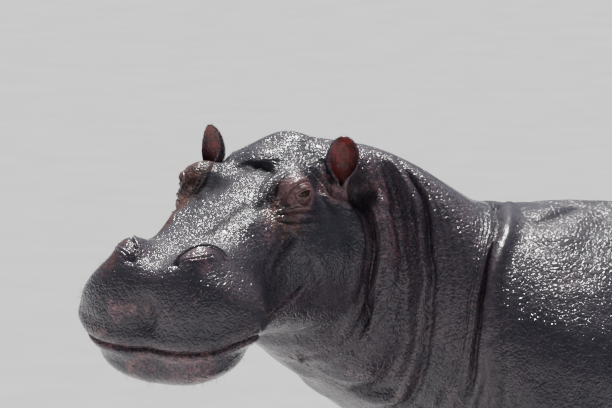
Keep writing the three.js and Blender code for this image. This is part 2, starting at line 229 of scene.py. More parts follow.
def noise(points, size, seed=0):
    """Smooth noise from -1 to 1, its features about `size` across."""
    place = points / size + 31.7 * seed
    cell = np.floor(place).astype(np.int64)
    part = place - cell
    part = part * part * (3 - 2 * part)
    total = np.zeros(len(points))
    for corner in itertools.product((0, 1), repeat=3):
        number = (cell + corner) @ HASH_PRIMES
        number = (number ^ (number >> 13)) * 1274126177 & 0x7FFFFFFF
        number = (number ^ (number >> 15)) * 668265263 & 0x7FFFFFFF
        weight = np.where(corner, part, 1 - part).prod(axis=1)
        total += weight * (number / 0x3FFFFFFF - 1)
    return total


def linked(name, mesh):
    piece = bpy.data.objects.new(name, mesh)
    bpy.context.scene.collection.objects.link(piece)
    return piece


# ---- The skin's first form: all flesh as one closed surface ----

# Before the voxels are laid, space is stretched round the head, so that they come out finer there.
STRETCH_RADII = [0.0, 0.55, 0.85, 1.25, 1.7]
STRETCH = [3.0, 3.0, 1.3, 0.95, 0.65]
RADII = np.linspace(0, 6, 3000)
STRETCHED_RADII = np.cumsum(np.interp(RADII, STRETCH_RADII, STRETCH)) * RADII[1]


def stretched(points):
    away = points - MID_EYES
    radius = np.linalg.norm(away, axis=1, keepdims=True)
    return away * np.interp(radius, RADII, STRETCHED_RADII) / radius


def unstretched(points):
    radius = np.linalg.norm(points, axis=1, keepdims=True)
    return MID_EYES + points * np.interp(radius, STRETCHED_RADII, RADII) / radius


# An ear from its foot to its tip: how far up, half its width, its depth, and how far round its
# axis the sheet reaches on each side, in degrees.
EAR_HEIGHT = 158 * MM
EAR_LEVELS = [
    (-0.28, 27, 26, 176),
    (0.00, 20, 21, 176),
    (0.16, 17, 19, 174),
    (0.28, 19, 20, 158),
    (0.36, 26, 24, 130),
    (0.46, 35, 28, 106),
    (0.60, 41, 27, 91),
    (0.75, 40.5, 24, 80),
    (0.87, 33, 18, 72),
    (0.95, 22, 11, 66),
    (1.00, 8, 4, 60),
]


def ear_surface(side):
    """A cupped leaf, open ahead, as a closed sheet of triangles in the head frame."""
    heights, widths, depths, wraps = np.array(EAR_LEVELS).T
    t = np.linspace(heights[0], heights[-1], 60)
    half_width = np.interp(t, heights, widths) * MM
    depth = np.interp(t, heights, depths) * MM
    wrap = np.radians(np.interp(t, heights, wraps))
    share = np.linspace(-1, 1, 49)
    angle = share * wrap[:, None]
    widest = np.sin(np.minimum(wrap, np.pi / 2))[:, None]
    x = half_width[:, None] * np.sin(angle) / widest
    y = depth[:, None] * np.cos(angle) + 2 * MM
    z = np.broadcast_to((t * EAR_HEIGHT)[:, None], x.shape)
    middle = np.stack([x, y, z], axis=2)
    out = unit(np.cross(np.gradient(middle, axis=1), np.gradient(middle, axis=0)))
    rim = np.sqrt(np.clip(1 - np.abs(share) ** 6, 0, 1))[None, :, None]
    thickness = (np.interp(t, [0, 0.3, 1], [6, 4.6, 3.4]) * MM)[:, None, None] * (0.35 + 0.65 * rim)
    sheets = [middle + thickness * out, middle - thickness * out]
    rows, columns = x.shape
    points = np.concatenate([sheet.reshape(-1, 3) for sheet in sheets])
    index = np.arange(rows * columns).reshape(rows, columns)
    back = index + rows * columns
    quads = [
        (index[:-1, :-1], index[:-1, 1:], index[1:, 1:], index[1:, :-1]),
        (back[:-1, :-1], back[1:, :-1], back[1:, 1:], back[:-1, 1:]),
        (index[:-1, 0], index[1:, 0], back[1:, 0], back[:-1, 0]),
        (index[:-1, -1], back[:-1, -1], back[1:, -1], index[1:, -1]),
        (index[0, :-1], back[0, :-1], back[0, 1:], index[0, 1:]),
        (index[-1, :-1], index[-1, 1:], back[-1, 1:], back[-1, :-1]),
    ]
    triangles = []
    for quad in quads:
        a, b, c, d = (corner.reshape(-1) for corner in quad)
        triangles += [np.stack([a, b, c], axis=1), np.stack([a, c, d], axis=1)]
    return ear_to_head(points, side), np.concatenate(triangles)


def ear_axes(side):
    return turned(EAR_TIP[side], "Y") @ turned(EAR_LEAN, "X") @ turned(side * EAR_FACING[side], "Z")


def ear_to_head(points, side):
    return points @ ear_axes(side).T + EAR_FOOT * (side, 1, 1) - (0, 0, EAR_SINK[side])


def head_to_ear(points, side):
    return (points - EAR_FOOT * (side, 1, 1) + (0, 0, EAR_SINK[side])) @ ear_axes(side)


def keep_largest_part(mesh):
    """Removes the crumbs that the voxels leave inside the flesh."""
    edges = array_of(mesh.edges, "vertices", np.int32, 2)
    label = np.arange(len(mesh.vertices))
    while True:
        joined = label.copy()
        for end in edges.T:
            np.minimum.at(joined, label[end], label[edges].min(axis=1))
        while (joined[joined] != joined).any():
            joined = joined[joined]
        if (joined == label).all():
            break
        label = joined
    largest = np.bincount(label).argmax()
    if (label == largest).all():
        return
    work = bmesh.new()
    work.from_mesh(mesh)
    work.verts.ensure_lookup_table()
    crumbs = [work.verts[i] for i in np.flatnonzero(label != largest)]
    bmesh.ops.delete(work, geom=crumbs, context="VERTS")
    work.to_mesh(mesh)
    work.free()


def first_skin():
    """The flesh nodes, swollen until their gaps close, and the ears, as one mesh of even quads."""
    bodies = []
    for node in [*FLESH, *NAILS, "eye_left", "eye_right"]:
        points, triangles = merged_triangles(node)
        points = swollen(points, triangles, GAP_CLOSING)
        for _ in range(2):
            points, triangles = quartered(points, triangles)
        bodies.append((points, triangles))
    for side in SIDES.values():
        points, triangles = ear_surface(side)
        bodies.append((from_head(points), triangles))
    offset = np.cumsum([0] + [len(points) for points, _ in bodies])
    points = np.concatenate([points for points, _ in bodies])
    triangles = np.concatenate([t + n for (_, t), n in zip(bodies, offset)])
    mesh = bpy.data.meshes.new("skin")
    mesh.from_pydata(stretched(points), [], triangles)
    skin = linked("skin", mesh)
    bpy.context.view_layer.objects.active = skin
    mesh.remesh_voxel_size = SPACING
    bpy.ops.object.voxel_remesh()
    mesh = skin.data
    keep_largest_part(mesh)
    put_points(mesh, unstretched(array_of(mesh.vertices, "co")))
    return skin


def ear_share(points):
    """1 on the ears' leaves, fading to 0 at their feet."""
    head = to_head(points)

    def on_ear(side):
        local = head_to_ear(head, side)
        return (np.abs(local[:, :2]) < 60 * MM).all(axis=1) * rise(local[:, 2], 0, 45 * MM)

    return either_side(on_ear)


def smooth_first_form(skin):
    """Rounds the facets off, but keeps the ears crisp and the soles flat on the floor."""
    mesh = skin.data
    points = array_of(mesh.vertices, "co")
    neighbours = neighbour_table(mesh)
    kept = ear_share(points)
    points = smoothed(points, neighbours, 0.5 * (1 - kept), BODY_SMOOTHING)
    points = smoothed(points, neighbours, 0.5 * kept, EAR_SMOOTHING)
    points[:, 2] = np.maximum(points[:, 2], 0)
    put_points(mesh, points)


# ---- Shaping ----


class Clay:
    """The skin's vertices while they are shaped, with their normals and places in the head's frame."""

    def __init__(self, piece):
        self.piece = piece
        self.mesh = piece.data
        self.read()

    def read(self):
        self.points = array_of(self.mesh.vertices, "co").astype(float)
        self.refresh()

    def refresh(self):
        put_points(self.mesh, self.points)
        self.normals = array_of(self.mesh.vertex_normals, "vector").astype(float)
        self.head = to_head(self.points)

    def lift(self, amount):
        """Moves every vertex along its normal."""
        self.points += self.normals * amount[:, None]
        self.refresh()

    def subdivide(self, chosen):
        """Splits the faces whose corners are all chosen."""
        work = bmesh.new()
        work.from_mesh(self.mesh)
        work.verts.ensure_lookup_table()
        edges = [e for e in work.edges if chosen[e.verts[0].index] and chosen[e.verts[1].index]]
        bmesh.ops.subdivide_edges(work, edges=edges, cuts=1, use_grid_fill=True)
        work.to_mesh(self.mesh)
        work.free()
        self.read()


def smooth_curve(line, steps=8):
    """Points on a Catmull-Rom curve through those given in millimetres, in metres."""
    line = np.array(line, float) * MM
    line = np.concatenate([[2 * line[0] - line[1]], line, [2 * line[-1] - line[-2]]])
    t = np.linspace(0, 1, steps, endpoint=False)[:, None]
    curve = []
    for a, b, c, d in zip(line, line[1:], line[2:], line[3:]):
        linear, square, cube = c - a, 2 * a - 5 * b + 4 * c - d, 3 * b - a - 3 * c + d
        curve.append(b + 0.5 * (linear * t + square * t**2 + cube * t**3))
    return np.concatenate([*curve, line[-2:-1]])


def beside(places, normals, curve):
    """For each place its signed distance from the curve and its share of the way along it."""
    nearest = np.full(len(places), np.inf)
    sign, share = np.ones(len(places)), np.zeros(len(places))
    for i, (start, end) in enumerate(zip(curve, curve[1:])):
        way = end - start
        t = np.clip((places - start) @ way / (way @ way), 0, 1)
        away = places - start - t[:, None] * way
        distance = (away**2).sum(axis=1)
        closer = distance < nearest
        nearest[closer] = distance[closer]
        share[closer] = (i + t[closer]) / (len(curve) - 1)
        sign[closer] = np.sign((np.cross(way, normals[closer]) * away[closer]).sum(axis=1))
    return np.sqrt(nearest) * sign, share


def crease(clay, line, width, depth, roll, one_side=0, fade=0.2, side=None):
    """A groove along the line, with a rounded roll of skin beside it. Its numbers are millimetres.

    The line is in the head frame, for its left side, and side mirrors it; with no side it is in
    the row frame. one_side keeps the roll to one side of the line, and each fold in the tables
    below is (line, width, depth, roll), which one_side and fade may follow.
    """
    mirror = np.array([1 if side is None else side, 1, 1])
    curve = smooth_curve(line) * mirror
    places = clay.points if side is None else clay.head
    reach = 5 * width * MM
    inside = (places > curve.min(axis=0) - reach) & (places < curve.max(axis=0) + reach)
    near = np.flatnonzero(inside.all(axis=1))
    normals = clay.normals[near] if side is None else clay.normals[near] @ HEAD_AXES
    across, along = beside(places[near], normals, curve)
    across *= (side or 1) / MM
    ends = rise(along, 0, fade) * rise(1 - along, 0, fade)
    profile = -depth * bump(across, 0, width) + roll * bump(np.abs(across), 2.3 * width, 1.4 * width)
    if one_side:
        profile = np.where(across * one_side > 0, profile, profile.clip(max=0))
    clay.points[near] += clay.normals[near] * (profile * ends * MM)[:, None]


def press(clay, dents, side, start=None):
    """Soft hollows, or swellings where the depth is negative. Each is (middle, reach, depth) in the
    head frame, or where a start is given, counted from there in the row frame."""
    for middle, reach, depth in dents:
        place = np.array(middle) * (side, 1, 1) * MM
        places = clay.head if start is None else clay.points - start
        far = (((places - place) / (np.array(reach) * MM)) ** 2).sum(axis=1)
        near = np.flatnonzero(far < 7)
        clay.points[near] -= clay.normals[near] * (depth * MM * np.exp(-far[near]))[:, None]


def shape_both_sides(clay, dents, folds):
    for side in SIDES.values():
        press(clay, dents, side)
        for fold in folds:
            crease(clay, *fold, side=side)
    clay.refresh()


# ---- Eyes' lids ----

LID_OPENING = (21.5, 10.5, 9.0)  # half its length, and its height above and below the middle
LID_RADIUS = EYE_RADIUS / MM + 3.5


def eye_frame(side):
    """The eyeball's middle, and the ways out of it, ahead and up, in the head frame."""
    facing = math.radians(EYE_FACING)
    out = np.array([side * math.cos(facing), -math.sin(facing), 0])
    ahead = np.array([-side * math.sin(facing), -math.cos(facing), 0])
    return np.array([side * EYE_OUT, 0, 0]), np.stack([out, ahead, [0, 0, 1]], axis=1)


def eye_places(head, side):
    """Places out of, ahead of and above the eyeball's middle, in millimetres."""
    middle, axes = eye_frame(side)
    return (head - middle) @ axes / MM


def opening_share(ahead, up):
    """0 at the middle of the lids' opening and 1 at its almond-shaped edge."""
    half, above, below = LID_OPENING
    height = np.where(up > 0, above, below)
    bowed = up - 1.5 + 0.9 * (ahead / half) ** 2
    return (np.abs(ahead / half) ** 1.7 + np.abs(bowed / height) ** 1.7) ** (1 / 1.7)


def shape_lids(clay, side):
    out, ahead, up = eye_places(clay.head, side).T
    far = np.hypot(ahead, up)
    near = np.flatnonzero((out > -12) & (far < 75))
    out, ahead, up, far = out[near], ahead[near], up[near], far[near]
    k = opening_share(ahead, up)
    ball = np.sqrt(np.clip((EYE_RADIUS / MM) ** 2 - far**2, 16, None))
    lid = np.sqrt(np.clip(LID_RADIUS**2 - far**2, 36, None))
    lid += 1.6 * bump(k, 1.12, 0.12) - 1.4 * bump(k, 1.42, 0.12) + 1.3 * bump(k, 1.75, 0.22)
    lid -= 2.2 * bump(k, 2.15, 0.14) * rise(up, -4, 6)
    lid -= 1.8 * bump(k, 2.3, 0.16) * rise(-up, -2, 6)
    surface = lid + (out - lid) * rise(far, 21, 33)
    surface += 5.0 * bump(up, 27, 9) * bump(ahead, 0, 34)
    surface = np.where(k < 1, ball - 2.6 + (surface - ball + 2.6) * rise(k, 0.93, 1.0), surface)
    move = (surface - out) * rise(75 - far, 0, 20)
    direction = eye_frame(side)[1][:, 0] @ HEAD_AXES.T
    clay.points[near] += move[:, None] * direction * MM
    clay.refresh()


EYE_FOLDS = [
    # over the upper lid, from ahead of the eye to behind it
    ([(158, -60, -14), (156, -46, 6), (163, -26, 23), (174, -4, 30), (180, 28, 24),
      (186, 44, 8)], 3.6, 4.5, 1.8),
    # round the mound, one inside the other
    ([(120, -98, -24), (101, -62, -4), (92, -32, 15), (98, 2, 31), (108, 34, 38),
      (122, 66, 32)], 6, 6, 3.2),
    ([(131, -94, -30), (116, -64, -6), (108, -38, 16), (113, -6, 34)], 4, 4, 1.8),
    ([(143, -92, -34), (131, -68, -8), (122, -42, 16), (127, -14, 35), (134, 6, 44)], 3.6, 3.6, 1.6),
    # down the temple: a ridge behind the lids, and the grooves on each side of it
    ([(160, 100, -32), (178, 116, -48), (200, 132, -62), (222, 146, -76), (240, 150, -96)], 9, -7, 0),
    ([(186, 40, 12), (190, 58, -12), (194, 72, -40), (202, 84, -66), (212, 92, -92)], 7, 4.5, 1.2),
    # bags under the eye
    ([(150, -86, -28), (163, -62, -27), (178, -40, -25), (189, -12, -27), (190, 16, -22)], 2.8, 2.4, 1.6),
    ([(148, -96, -36), (158, -72, -34), (174, -57, -33), (188, -36, -38), (195, -2, -50),
      (197, 44, -64)], 3.8, 5.4, 3.0),
    ([(150, -112, -48), (161, -88, -52), (176, -62, -60), (190, -28, -68), (199, 8, -76),
      (206, 50, -88)], 4.2, 5.4, 2.8),
    ([(158, -118, -70), (176, -88, -80), (190, -54, -86), (200, -16, -96)], 5, 2.4, 1.2),
]
MOUND_FOLDS = (1, 2, 3)  # weaker on the right
EYE_DENTS = [
    # (middle, reach, depth): the pit ahead of each mound, and the swelling under the eye and ahead of it
    ((98, -88, -10), (15, 22, 20), 8),
    ((132, -46, 8), (12, 20, 14), 5),
    ((112, -178, -42), (26, 46, 32), -9),
    ((158, -110, -60), (20, 30, 24), -4),
]


# ---- Muzzle ----

NOSTRIL_FOLDS = [
    # the rim that arches over the nostril, and a second fold inside it
    ([(62, -490, -56), (64, -466, -42), (84, -440, -28), (106, -417, -23), (121, -388, -30),
      (138, -370, -46), (154, -367, -66)], 3.6, 7.5, 4.2, -1),
    ([(112, -414, -26), (133, -393, -38), (149, -386, -54), (161, -392, -68)], 2.8, 4.0, 1.4),
    # the slit, closed by its valve
    ([(72, -484, -47), (92, -472, -42), (114, -460, -41), (132, -438, -41),
      (142, -412, -44)], 2.2, 3.6, 1.6),
]
NOSTRIL_DENTS = [
    # the nostril's mound, its front pit, and the hollow behind and between the two
    ((116, -428, -40), (46, 46, 26), -7), ((66, -484, -52), (12, 11, 12), 11),
    ((92, -330, -40), (46, 34, 40), 5),
]


# The mouth as (how far back, how high) in the head frame, round the front and to its corner.
MOUTH = [
    (-640, -276), (-540, -272), (-460, -250), (-380, -258), (-280, -286), (-180, -284), (-100, -252),
    (-60, -222), (-40, -200),
]


def over_mouth(head):
    """How far each place is above the mouth's line, in millimetres."""
    line = smooth_curve([(0, *place) for place in MOUTH])
    return (head[:, 2] - np.interp(head[:, 1], line[:, 1], line[:, 2])) / MM


def shape_mouth(clay):
    x, y, z = (clay.head / MM).T
    over = over_mouth(clay.head)
    front = rise(-y, 36, 92)
    outer = rise(np.abs(x), 20, 60) + rise(-y, 440, 500)
    front = front * outer.clip(0, 1) * (z > -460)
    line = -13 * bump(over, 0, 6.5)
    upper_lip = 9 * bump(over, 26, 24) * rise(-y, 120, 240)
    lower_lip = 4.5 * bump(over, -20, 14) - 9 * bump(over, -46, 30) * rise(-y, 200, 420)
    clay.lift(front * (line + upper_lip + lower_lip) * MM)


MUZZLE_DENTS = [
    # (middle, reach, depth), which swells where depth is negative
    ((176, -250, -120), (60, 90, 60), 6),
    ((222, -392, -170), (58, 80, 56), -9),
    ((120, -512, -190), (60, 46, 60), -8),
    ((186, -100, -108), (22, 34, 42), 9),
    ((232, -20, -330), (60, 90, 60), 7),
    ((150, -420, -330), (70, 90, 40), -6),
]
MUZZLE_FOLDS = [
    # down between the muzzle and the cheek
    ([(178, -62, -84), (182, -78, -102), (176, -102, -116), (174, -128, -130), (178, -158, -142),
      (184, -186, -164)], 9, 11, 4),
    ([(170, -100, -72), (168, -140, -92), (170, -184, -112), (178, -228, -140)], 6, 3, 1.5),
    # at the mouth's corner
    ([(206, -40, -160), (214, -34, -190), (220, -22, -226), (226, 2, -262)], 12, 2, 1),
    # the lip's cleft
    ([(3, -530, -110), (0, -540, -160), (0, -548, -210), (0, -556, -258)], 24, 5, 0, 0, 0.45),
]


# ---- Crown, cheeks and ears' feet ----

CROWN_DENTS = [
    ((30, 50, 34), (34, 26, 34), 6),
    ((66, 66, 40), (26, 30, 40), 4),
    ((96, -70, 0), (34, 40, 40), 3),
    ((10, 160, 90), (46, 50, 40), 8),
    ((240, 146, -112), (34, 32, 60), -8),
    ((252, 168, -170), (30, 34, 60), -6),
    ((228, 192, -60), (26, 26, 38), 14),
    ((248, 226, -74), (26, 26, 44), 14),
    ((214, 112, -62), (26, 24, 34), 3),
    ((152, 196, 20), (34, 34, 40), -5),
]
# The forehead's hollow, and the crown behind it, lie a little to the left.
LEFT_CROWN_DENTS = [
    ((40, 64, 40), (22, 26, 34), 9), ((-6, 56, 36), (46, 22, 32), 6), ((62, 250, 56), (58, 60, 44), -13),
    ((-70, -44, 8), (36, 44, 30), 9), ((284, 214, -92), (26, 26, 26), -11),
]
CROWN_FOLDS = [
    ([(-8, 50, 44), (22, 66, 48), (50, 60, 40), (70, 40, 34)], 7, 3.5, 1.5),
    ([(20, 96, 66), (56, 104, 60), (96, 106, 46), (128, 116, 24), (150, 132, 0)], 4, 2.6, 1.4),
    ([(30, 124, 78), (70, 130, 66), (106, 136, 48), (146, 150, 16)], 4, 2.6, 1.3),
    ([(64, 158, 76), (102, 160, 58), (140, 164, 32), (166, 170, 4)], 4.5, 3.0, 1.5),
    # between the temple's ridge and the ear, and round the ear's foot
    ([(126, 132, 26), (146, 140, 4), (166, 142, -22), (188, 146, -50)], 5.5, 7, 2.5),
    ([(160, 146, -4), (174, 140, -40), (190, 138, -70), (212, 148, -90), (232, 168, -98)], 5, 4.5, 2.5),
    # the stalk's own folds
    ([(176, 172, -20), (184, 164, -44), (196, 156, -66)], 3, 3, 1.4),
    ([(196, 182, -14), (204, 172, -40), (212, 160, -66)], 3, 3, 1.4),
]
# behind the cheek, from the ear's foot down to the throat
CHEEK_CREASE = [
    (206, 192, -44), (230, 184, -70), (250, 186, -96), (266, 185, -124), (278, 177, -160),
    (284, 166, -205), (280, 152, -252), (272, 143, -305), (266, 138, -360), (252, 134, -420),
    (214, 130, -480),
]


def shape_crown(clay):
    press(clay, LEFT_CROWN_DENTS, 1)
    for side in SIDES.values():
        share = 1 if side == 1 else 0.6  # the head is turned to its left, and folds more there
        for width, depth, roll in ((17, 19, 9), (5, 9, 4)):
            crease(clay, CHEEK_CREASE, width, depth * share, roll * share, one_side=1, fade=0.16, side=side)
    shape_both_sides(clay, CROWN_DENTS, CROWN_FOLDS)


# ---- Neck and back ----

WITHERS = MID_EYES - np.array([223, -783, 96]) * MM
# The neck's middle line from the back forwards: across and behind the withers, and its turn.
NECK_LINE = [
    (0, 380, 0), (0, 90, 0), (0, -60, 2), (8, -190, 8), (20, -320, 17), (36, -450, 29), (55, -560, 39),
    (82, -655, 45), (110, -700, 47),
]
NECK_AXIS_HEIGHT = 1.0


def along_neck(points):
    """How far ahead of the withers each point is, along the neck's middle line, in millimetres,
    and its angle round the neck from the top, in degrees, positive to the animal's left."""
    x, y, turn = np.array(NECK_LINE, float).T
    length = np.concatenate([[0], np.cumsum(np.hypot(np.diff(x), np.diff(y)))])
    fine = np.linspace(0, length[-1] + 120, 64)
    bend = np.radians(np.interp(fine, length, turn))
    beyond = (fine - length[-1]).clip(0)
    middle_x = WITHERS[0] + (np.interp(fine, length, x) + beyond * np.sin(bend)) * MM
    middle_y = WITHERS[1] + (np.interp(fine, length, y) - beyond * np.cos(bend)) * MM
    station = np.full(len(points), -1e4)
    aside = np.zeros(len(points))
    last = None
    for place, mid_x, mid_y, b in zip(fine, middle_x, middle_y, bend):
        x, y = points[:, 0] - mid_x, points[:, 1] - mid_y
        ahead = x * np.sin(b) - y * np.cos(b)
        if last is not None:
            passed = (last >= 0) & (ahead < 0)
            share = last[passed] / (last[passed] - ahead[passed])
            station[passed] = place - (1 - share) * (fine[1] - fine[0])
            aside[passed] = x[passed] * np.cos(b) + y[passed] * np.sin(b)
        last = ahead
    angle = np.degrees(np.arctan2(aside, points[:, 2] - NECK_AXIS_HEIGHT))
    return station - length[2], angle


def ring(angle, levels):
    """Where a fold crosses the neck at each angle from the top, from a few (degrees, station) pairs."""
    degrees, stations = np.array(levels, float).T
    return np.interp(np.abs(angle), degrees, stations)


# Where each fold crosses the neck: its angle from the top and how far ahead of the withers it is.
VALLEY = [(0, 430), (19, 443), (28, 462), (42, 488), (60, 472), (74, 449), (110, 420)]
HANGING_FOLD = [(0, 398), (21, 402), (32, 396), (44, 417), (60, 421), (74, 409), (110, 380)]
FOLD_SHADOW = [(0, 372), (22, 364), (29, 356), (36, 376), (45, 402), (57, 412), (70, 401), (110, 370)]
WITHERS_CREASE = [(0, -20), (27, 36), (38, 76), (45, 119), (53, 169), (63, 220), (77, 247), (110, 250)]
LESSER_FOLDS = [(505, 4), (545, 5), (330, 3), (300, 2.2), (262, 2)]  # how far ahead, and depth
THROAT_FOLDS = (140, 210, 290)


def shape_neck(clay):
    station, angle = along_neck(clay.points)
    steep = np.abs(angle)
    inner = np.where(angle > 0, 1.0, 0.38)  # the side that the neck bends to is the more folded
    wave = 6 * noise(clay.points, 0.09, 3)

    def beyond(levels):
        return station - ring(angle, levels) + wave

    flank = rise(steep, 12, 26) * rise(150 - steep, 0, 30)
    amount = -20 * bump(beyond(VALLEY), 0, 24) + 9 * bump(beyond(VALLEY), 52, 26)
    amount += 15 * bump(beyond(HANGING_FOLD), 4, 19)
    amount += 5 * bump(beyond(FOLD_SHADOW), -70, 50) - 15 * bump(beyond(FOLD_SHADOW), -4, 13)
    for place, depth in LESSER_FOLDS:
        amount -= depth * bump(station + wave * 1.6 + 14 * np.sin(steep / 17), place, 9)
    amount *= flank
    for place in THROAT_FOLDS:
        amount -= 7 * bump(station + wave * 2 - 0.5 * (steep - 90), place, 13) * rise(steep, 60, 100)
    clay.lift(amount * inner * MM)

    # the withers' deep crease and the roll behind it
    station, angle = along_neck(clay.points)
    steep = np.abs(angle)
    behind = ring(angle, WITHERS_CREASE) - station
    reach = rise(118 - steep, 0, 36)
    both = np.where(angle > 0, 1.0, 0.62)
    amount = -17 * bump(behind, 2 + wave * 0.4, 11)
    for place, width, height in ((38, 24, 12), (92, 22, -2), (-34, 24, 5)):
        amount += height * bump(behind, place, width)
    ripple = np.cos((behind + wave) * 2 * np.pi / 15) * rise(-behind, 10, 20) * rise(86 + behind, 0, 40)
    amount += 1.5 * ripple * rise(steep, 20, 40)
    clay.lift(amount * reach * both * MM)


def shape_back(clay):
    """A furrow down the spine that forks over the shoulders, between the long muscles of the back."""
    x = (clay.points[:, 0] - WITHERS[0]) / MM
    y = (clay.points[:, 1] - WITHERS[1]) / MM
    z = clay.points[:, 2]
    upper = rise(z, 1.0, 1.25)
    fork = 190 * (1 - rise(y, 20, 250)) - 10
    furrow = np.abs(x) - np.maximum(fork, 0)
    run = rise(y, -10, 50) * rise(1330 - y, 0, 260)
    amount = -15 * bump(furrow, 0, 26) + 12 * bump(furrow, 108, 62)
    amount += 3 * bump(furrow, -90, 50) * (fork > 60)
    clay.lift(amount * upper * run * MM)


# ---- Trunk, legs and tail ----

# Each line is out from the body's middle, behind the foot, and up.
BODY_FOLDS = {
    "foreleg": [
        # behind the elbow, and ahead of the forearm
        ([(462, 236, 980), (496, 222, 880), (500, 208, 780), (476, 190, 690)], 15, 11, 6),
        ([(505, 292, 860), (510, 284, 760), (486, 262, 670)], 12, 5, 3),
        ([(330, -190, 900), (392, -180, 800), (402, -170, 700), (360, -160, 610)], 13, 8, 4),
        ([(440, -60, 560), (436, 20, 590), (446, 90, 640), (470, 160, 720)], 12, 6, 4),
    ],
    "hindleg": [
        # groin, flank and buttock
        ([(512, -350, 980), (528, -320, 860), (516, -280, 750), (490, -252, 680)], 16, 13, 7),
        ([(536, -430, 900), (536, -404, 780), (500, -360, 670)], 13, 6, 4),
        ([(440, -120, 560), (452, -60, 600), (470, 10, 660), (480, 80, 740)], 13, 6, 4),
        ([(60, 330, 900), (150, 300, 800), (230, 230, 700), (290, 150, 620)], 13, 9, 5),
    ],
}
# The shoulder and the haunch, and the hollows behind and ahead of them: (middle, reach, depth).
BODY_DENTS = {
    "foreleg": [((480, 50, 1080), (150, 130, 230), -16), ((520, 330, 1080), (150, 110, 230), 12)],
    "hindleg": [
        ((480, -20, 980), (160, 190, 240), -16), ((520, -380, 1080), (150, 140, 200), 12),
        ((250, -60, 1330), (130, 150, 90), -10),
    ],
}
# Each ring of loose skin on a leg: its height in metres and its depth in millimetres.
WRIST_RINGS = [
    (0.112, 3.0), (0.136, 3.8), (0.163, 4.6), (0.196, 4.0), (0.238, 3.2),
    (0.290, 2.6), (0.36, 2.6), (0.43, 4.2), (0.48, 4.8), (0.53, 3.6),
]


def shape_trunk(clay):
    for (pair, folds), (name, side) in itertools.product(BODY_FOLDS.items(), SIDES.items()):
        start = np.array([WITHERS[0] / MM, foot_middle(f"{pair}_{name}")[1] / MM, 0])
        for line, *sizes in folds:
            crease(clay, np.array(line, float) * (side, 1, 1) + start, *sizes)
        press(clay, BODY_DENTS[pair], side, start * MM)
    clay.refresh()


def shape_legs(clay):
    """Rings of loose skin at the wrists and knees, and clefts between the toes."""
    for leg in LEGS:
        x, y, z = (clay.points - foot_middle(leg)).T
        near = (np.abs(x) < 0.20) & (np.abs(y) < 0.30) & (z < 0.6)
        around = np.degrees(np.arctan2(x, -y))
        wave = 0.012 * np.sin(np.radians(around * 2 + 40)) + 0.009 * noise(clay.points, 0.06, 5)
        amount = np.zeros(len(x))
        for number, (place, depth) in enumerate(WRIST_RINGS):
            part = rise(noise(clay.points, 0.13, 30 + number), -0.35, 0.25)
            amount -= depth * part * bump(z + wave, place, 0.0075)
            amount += 0.5 * depth * part * bump(z + wave, place + 0.016, 0.009)
        for k in (-1, 0, 1):
            cleft = (np.abs(around) < 70) * bump(around, TOE_SPREAD * k, 6)
            amount -= 6 * cleft * rise(0.105 - z, 0, 0.05)
        clay.lift(amount * near * MM)


def shape_hide(clay):
    """The uneven thickness of fat and skin all over."""
    head_share = rise(0.75 - np.linalg.norm(clay.head + (0, 0.15, 0.15), axis=1), 0, 0.25)
    ears = ear_share(clay.points)
    broad = 2.2 * noise(clay.points, 0.16, 1) + 1.1 * noise(clay.points, 0.07, 2)
    fine = 0.7 * noise(clay.points, 0.034, 4)
    low = rise(clay.points[:, 2], 0.01, 0.06)
    clay.lift((broad * (1 - 0.6 * head_share) + fine) * (1 - ears) * low * MM)


def near_points(places, middle, reach):
    return np.linalg.norm(places - np.array(middle), axis=1) < reach


def refine(clay):
    """More vertices where the form is fine: ears, nostrils, mouth, neck folds and, most of all, eyes."""
    chosen = ear_share(clay.points) > 0.3
    chosen |= (np.abs(over_mouth(clay.head)) < 20) & (clay.head[:, 1] < -0.03)
    for side in SIDES.values():
        chosen |= near_points(clay.head, (side * 0.112, -0.43, -0.04), 0.085)
        chosen |= near_points(clay.head, eye_frame(side)[0], 0.085)
    station, angle = along_neck(clay.points)
    chosen |= (station > 340) & (station < 560) & (angle > 8) & (angle < 100)
    behind = ring(angle, WITHERS_CREASE) - station
    chosen |= (behind > -90) & (behind < 60) & (angle > -20) & (angle < 90)
    clay.subdivide(chosen)
    chosen = np.zeros(len(clay.points), bool)
    for side in SIDES.values():
        chosen |= near_points(clay.head, eye_frame(side)[0] * 1.08, 0.046)
    clay.subdivide(chosen)


def sculpt(piece):
    clay = Clay(piece)
    refine(clay)
    shape_back(clay)
    shape_neck(clay)
    shape_trunk(clay)
    shape_legs(clay)
    shape_both_sides(clay, MUZZLE_DENTS, MUZZLE_FOLDS)
    shape_mouth(clay)
    shape_both_sides(clay, NOSTRIL_DENTS, NOSTRIL_FOLDS)
    shape_crown(clay)
    for side in SIDES.values():
        press(clay, EYE_DENTS, side)
        for number, (line, width, depth, roll) in enumerate(EYE_FOLDS):
            share = 0.4 if side == -1 and number in MOUND_FOLDS else 1
            crease(clay, line, width, share * depth, share * roll, side=side)
        clay.refresh()
        shape_lids(clay, side)
    shape_hide(clay)
    clay.points[:, 2] = np.maximum(clay.points[:, 2], 0)
    clay.refresh()
    return clay


# ---- Markings: where the skin is pink, red, smooth or folded, with painted shade in folds and hollows and painted highlights on ridges ----


def keep_share(piece, name, values):
    attribute = piece.data.attributes.new(name, "FLOAT", "POINT")
    attribute.data.foreach_set("value", np.asarray(values).clip(0, 1).astype(np.float32))


def round_eye(head, side):
    """1 on the lids, fading out over the folds that surround an eye."""
    out, ahead, up = eye_places(head, side).T
    lids = 1 - rise(np.hypot((ahead - 6) / 1.2, up - 4), 24, 60)
    bags = bump(np.hypot((ahead - 16) / 1.5, up + 30), 0, 26)
    return np.maximum(lids, 0.85 * bags) * (out > -25)


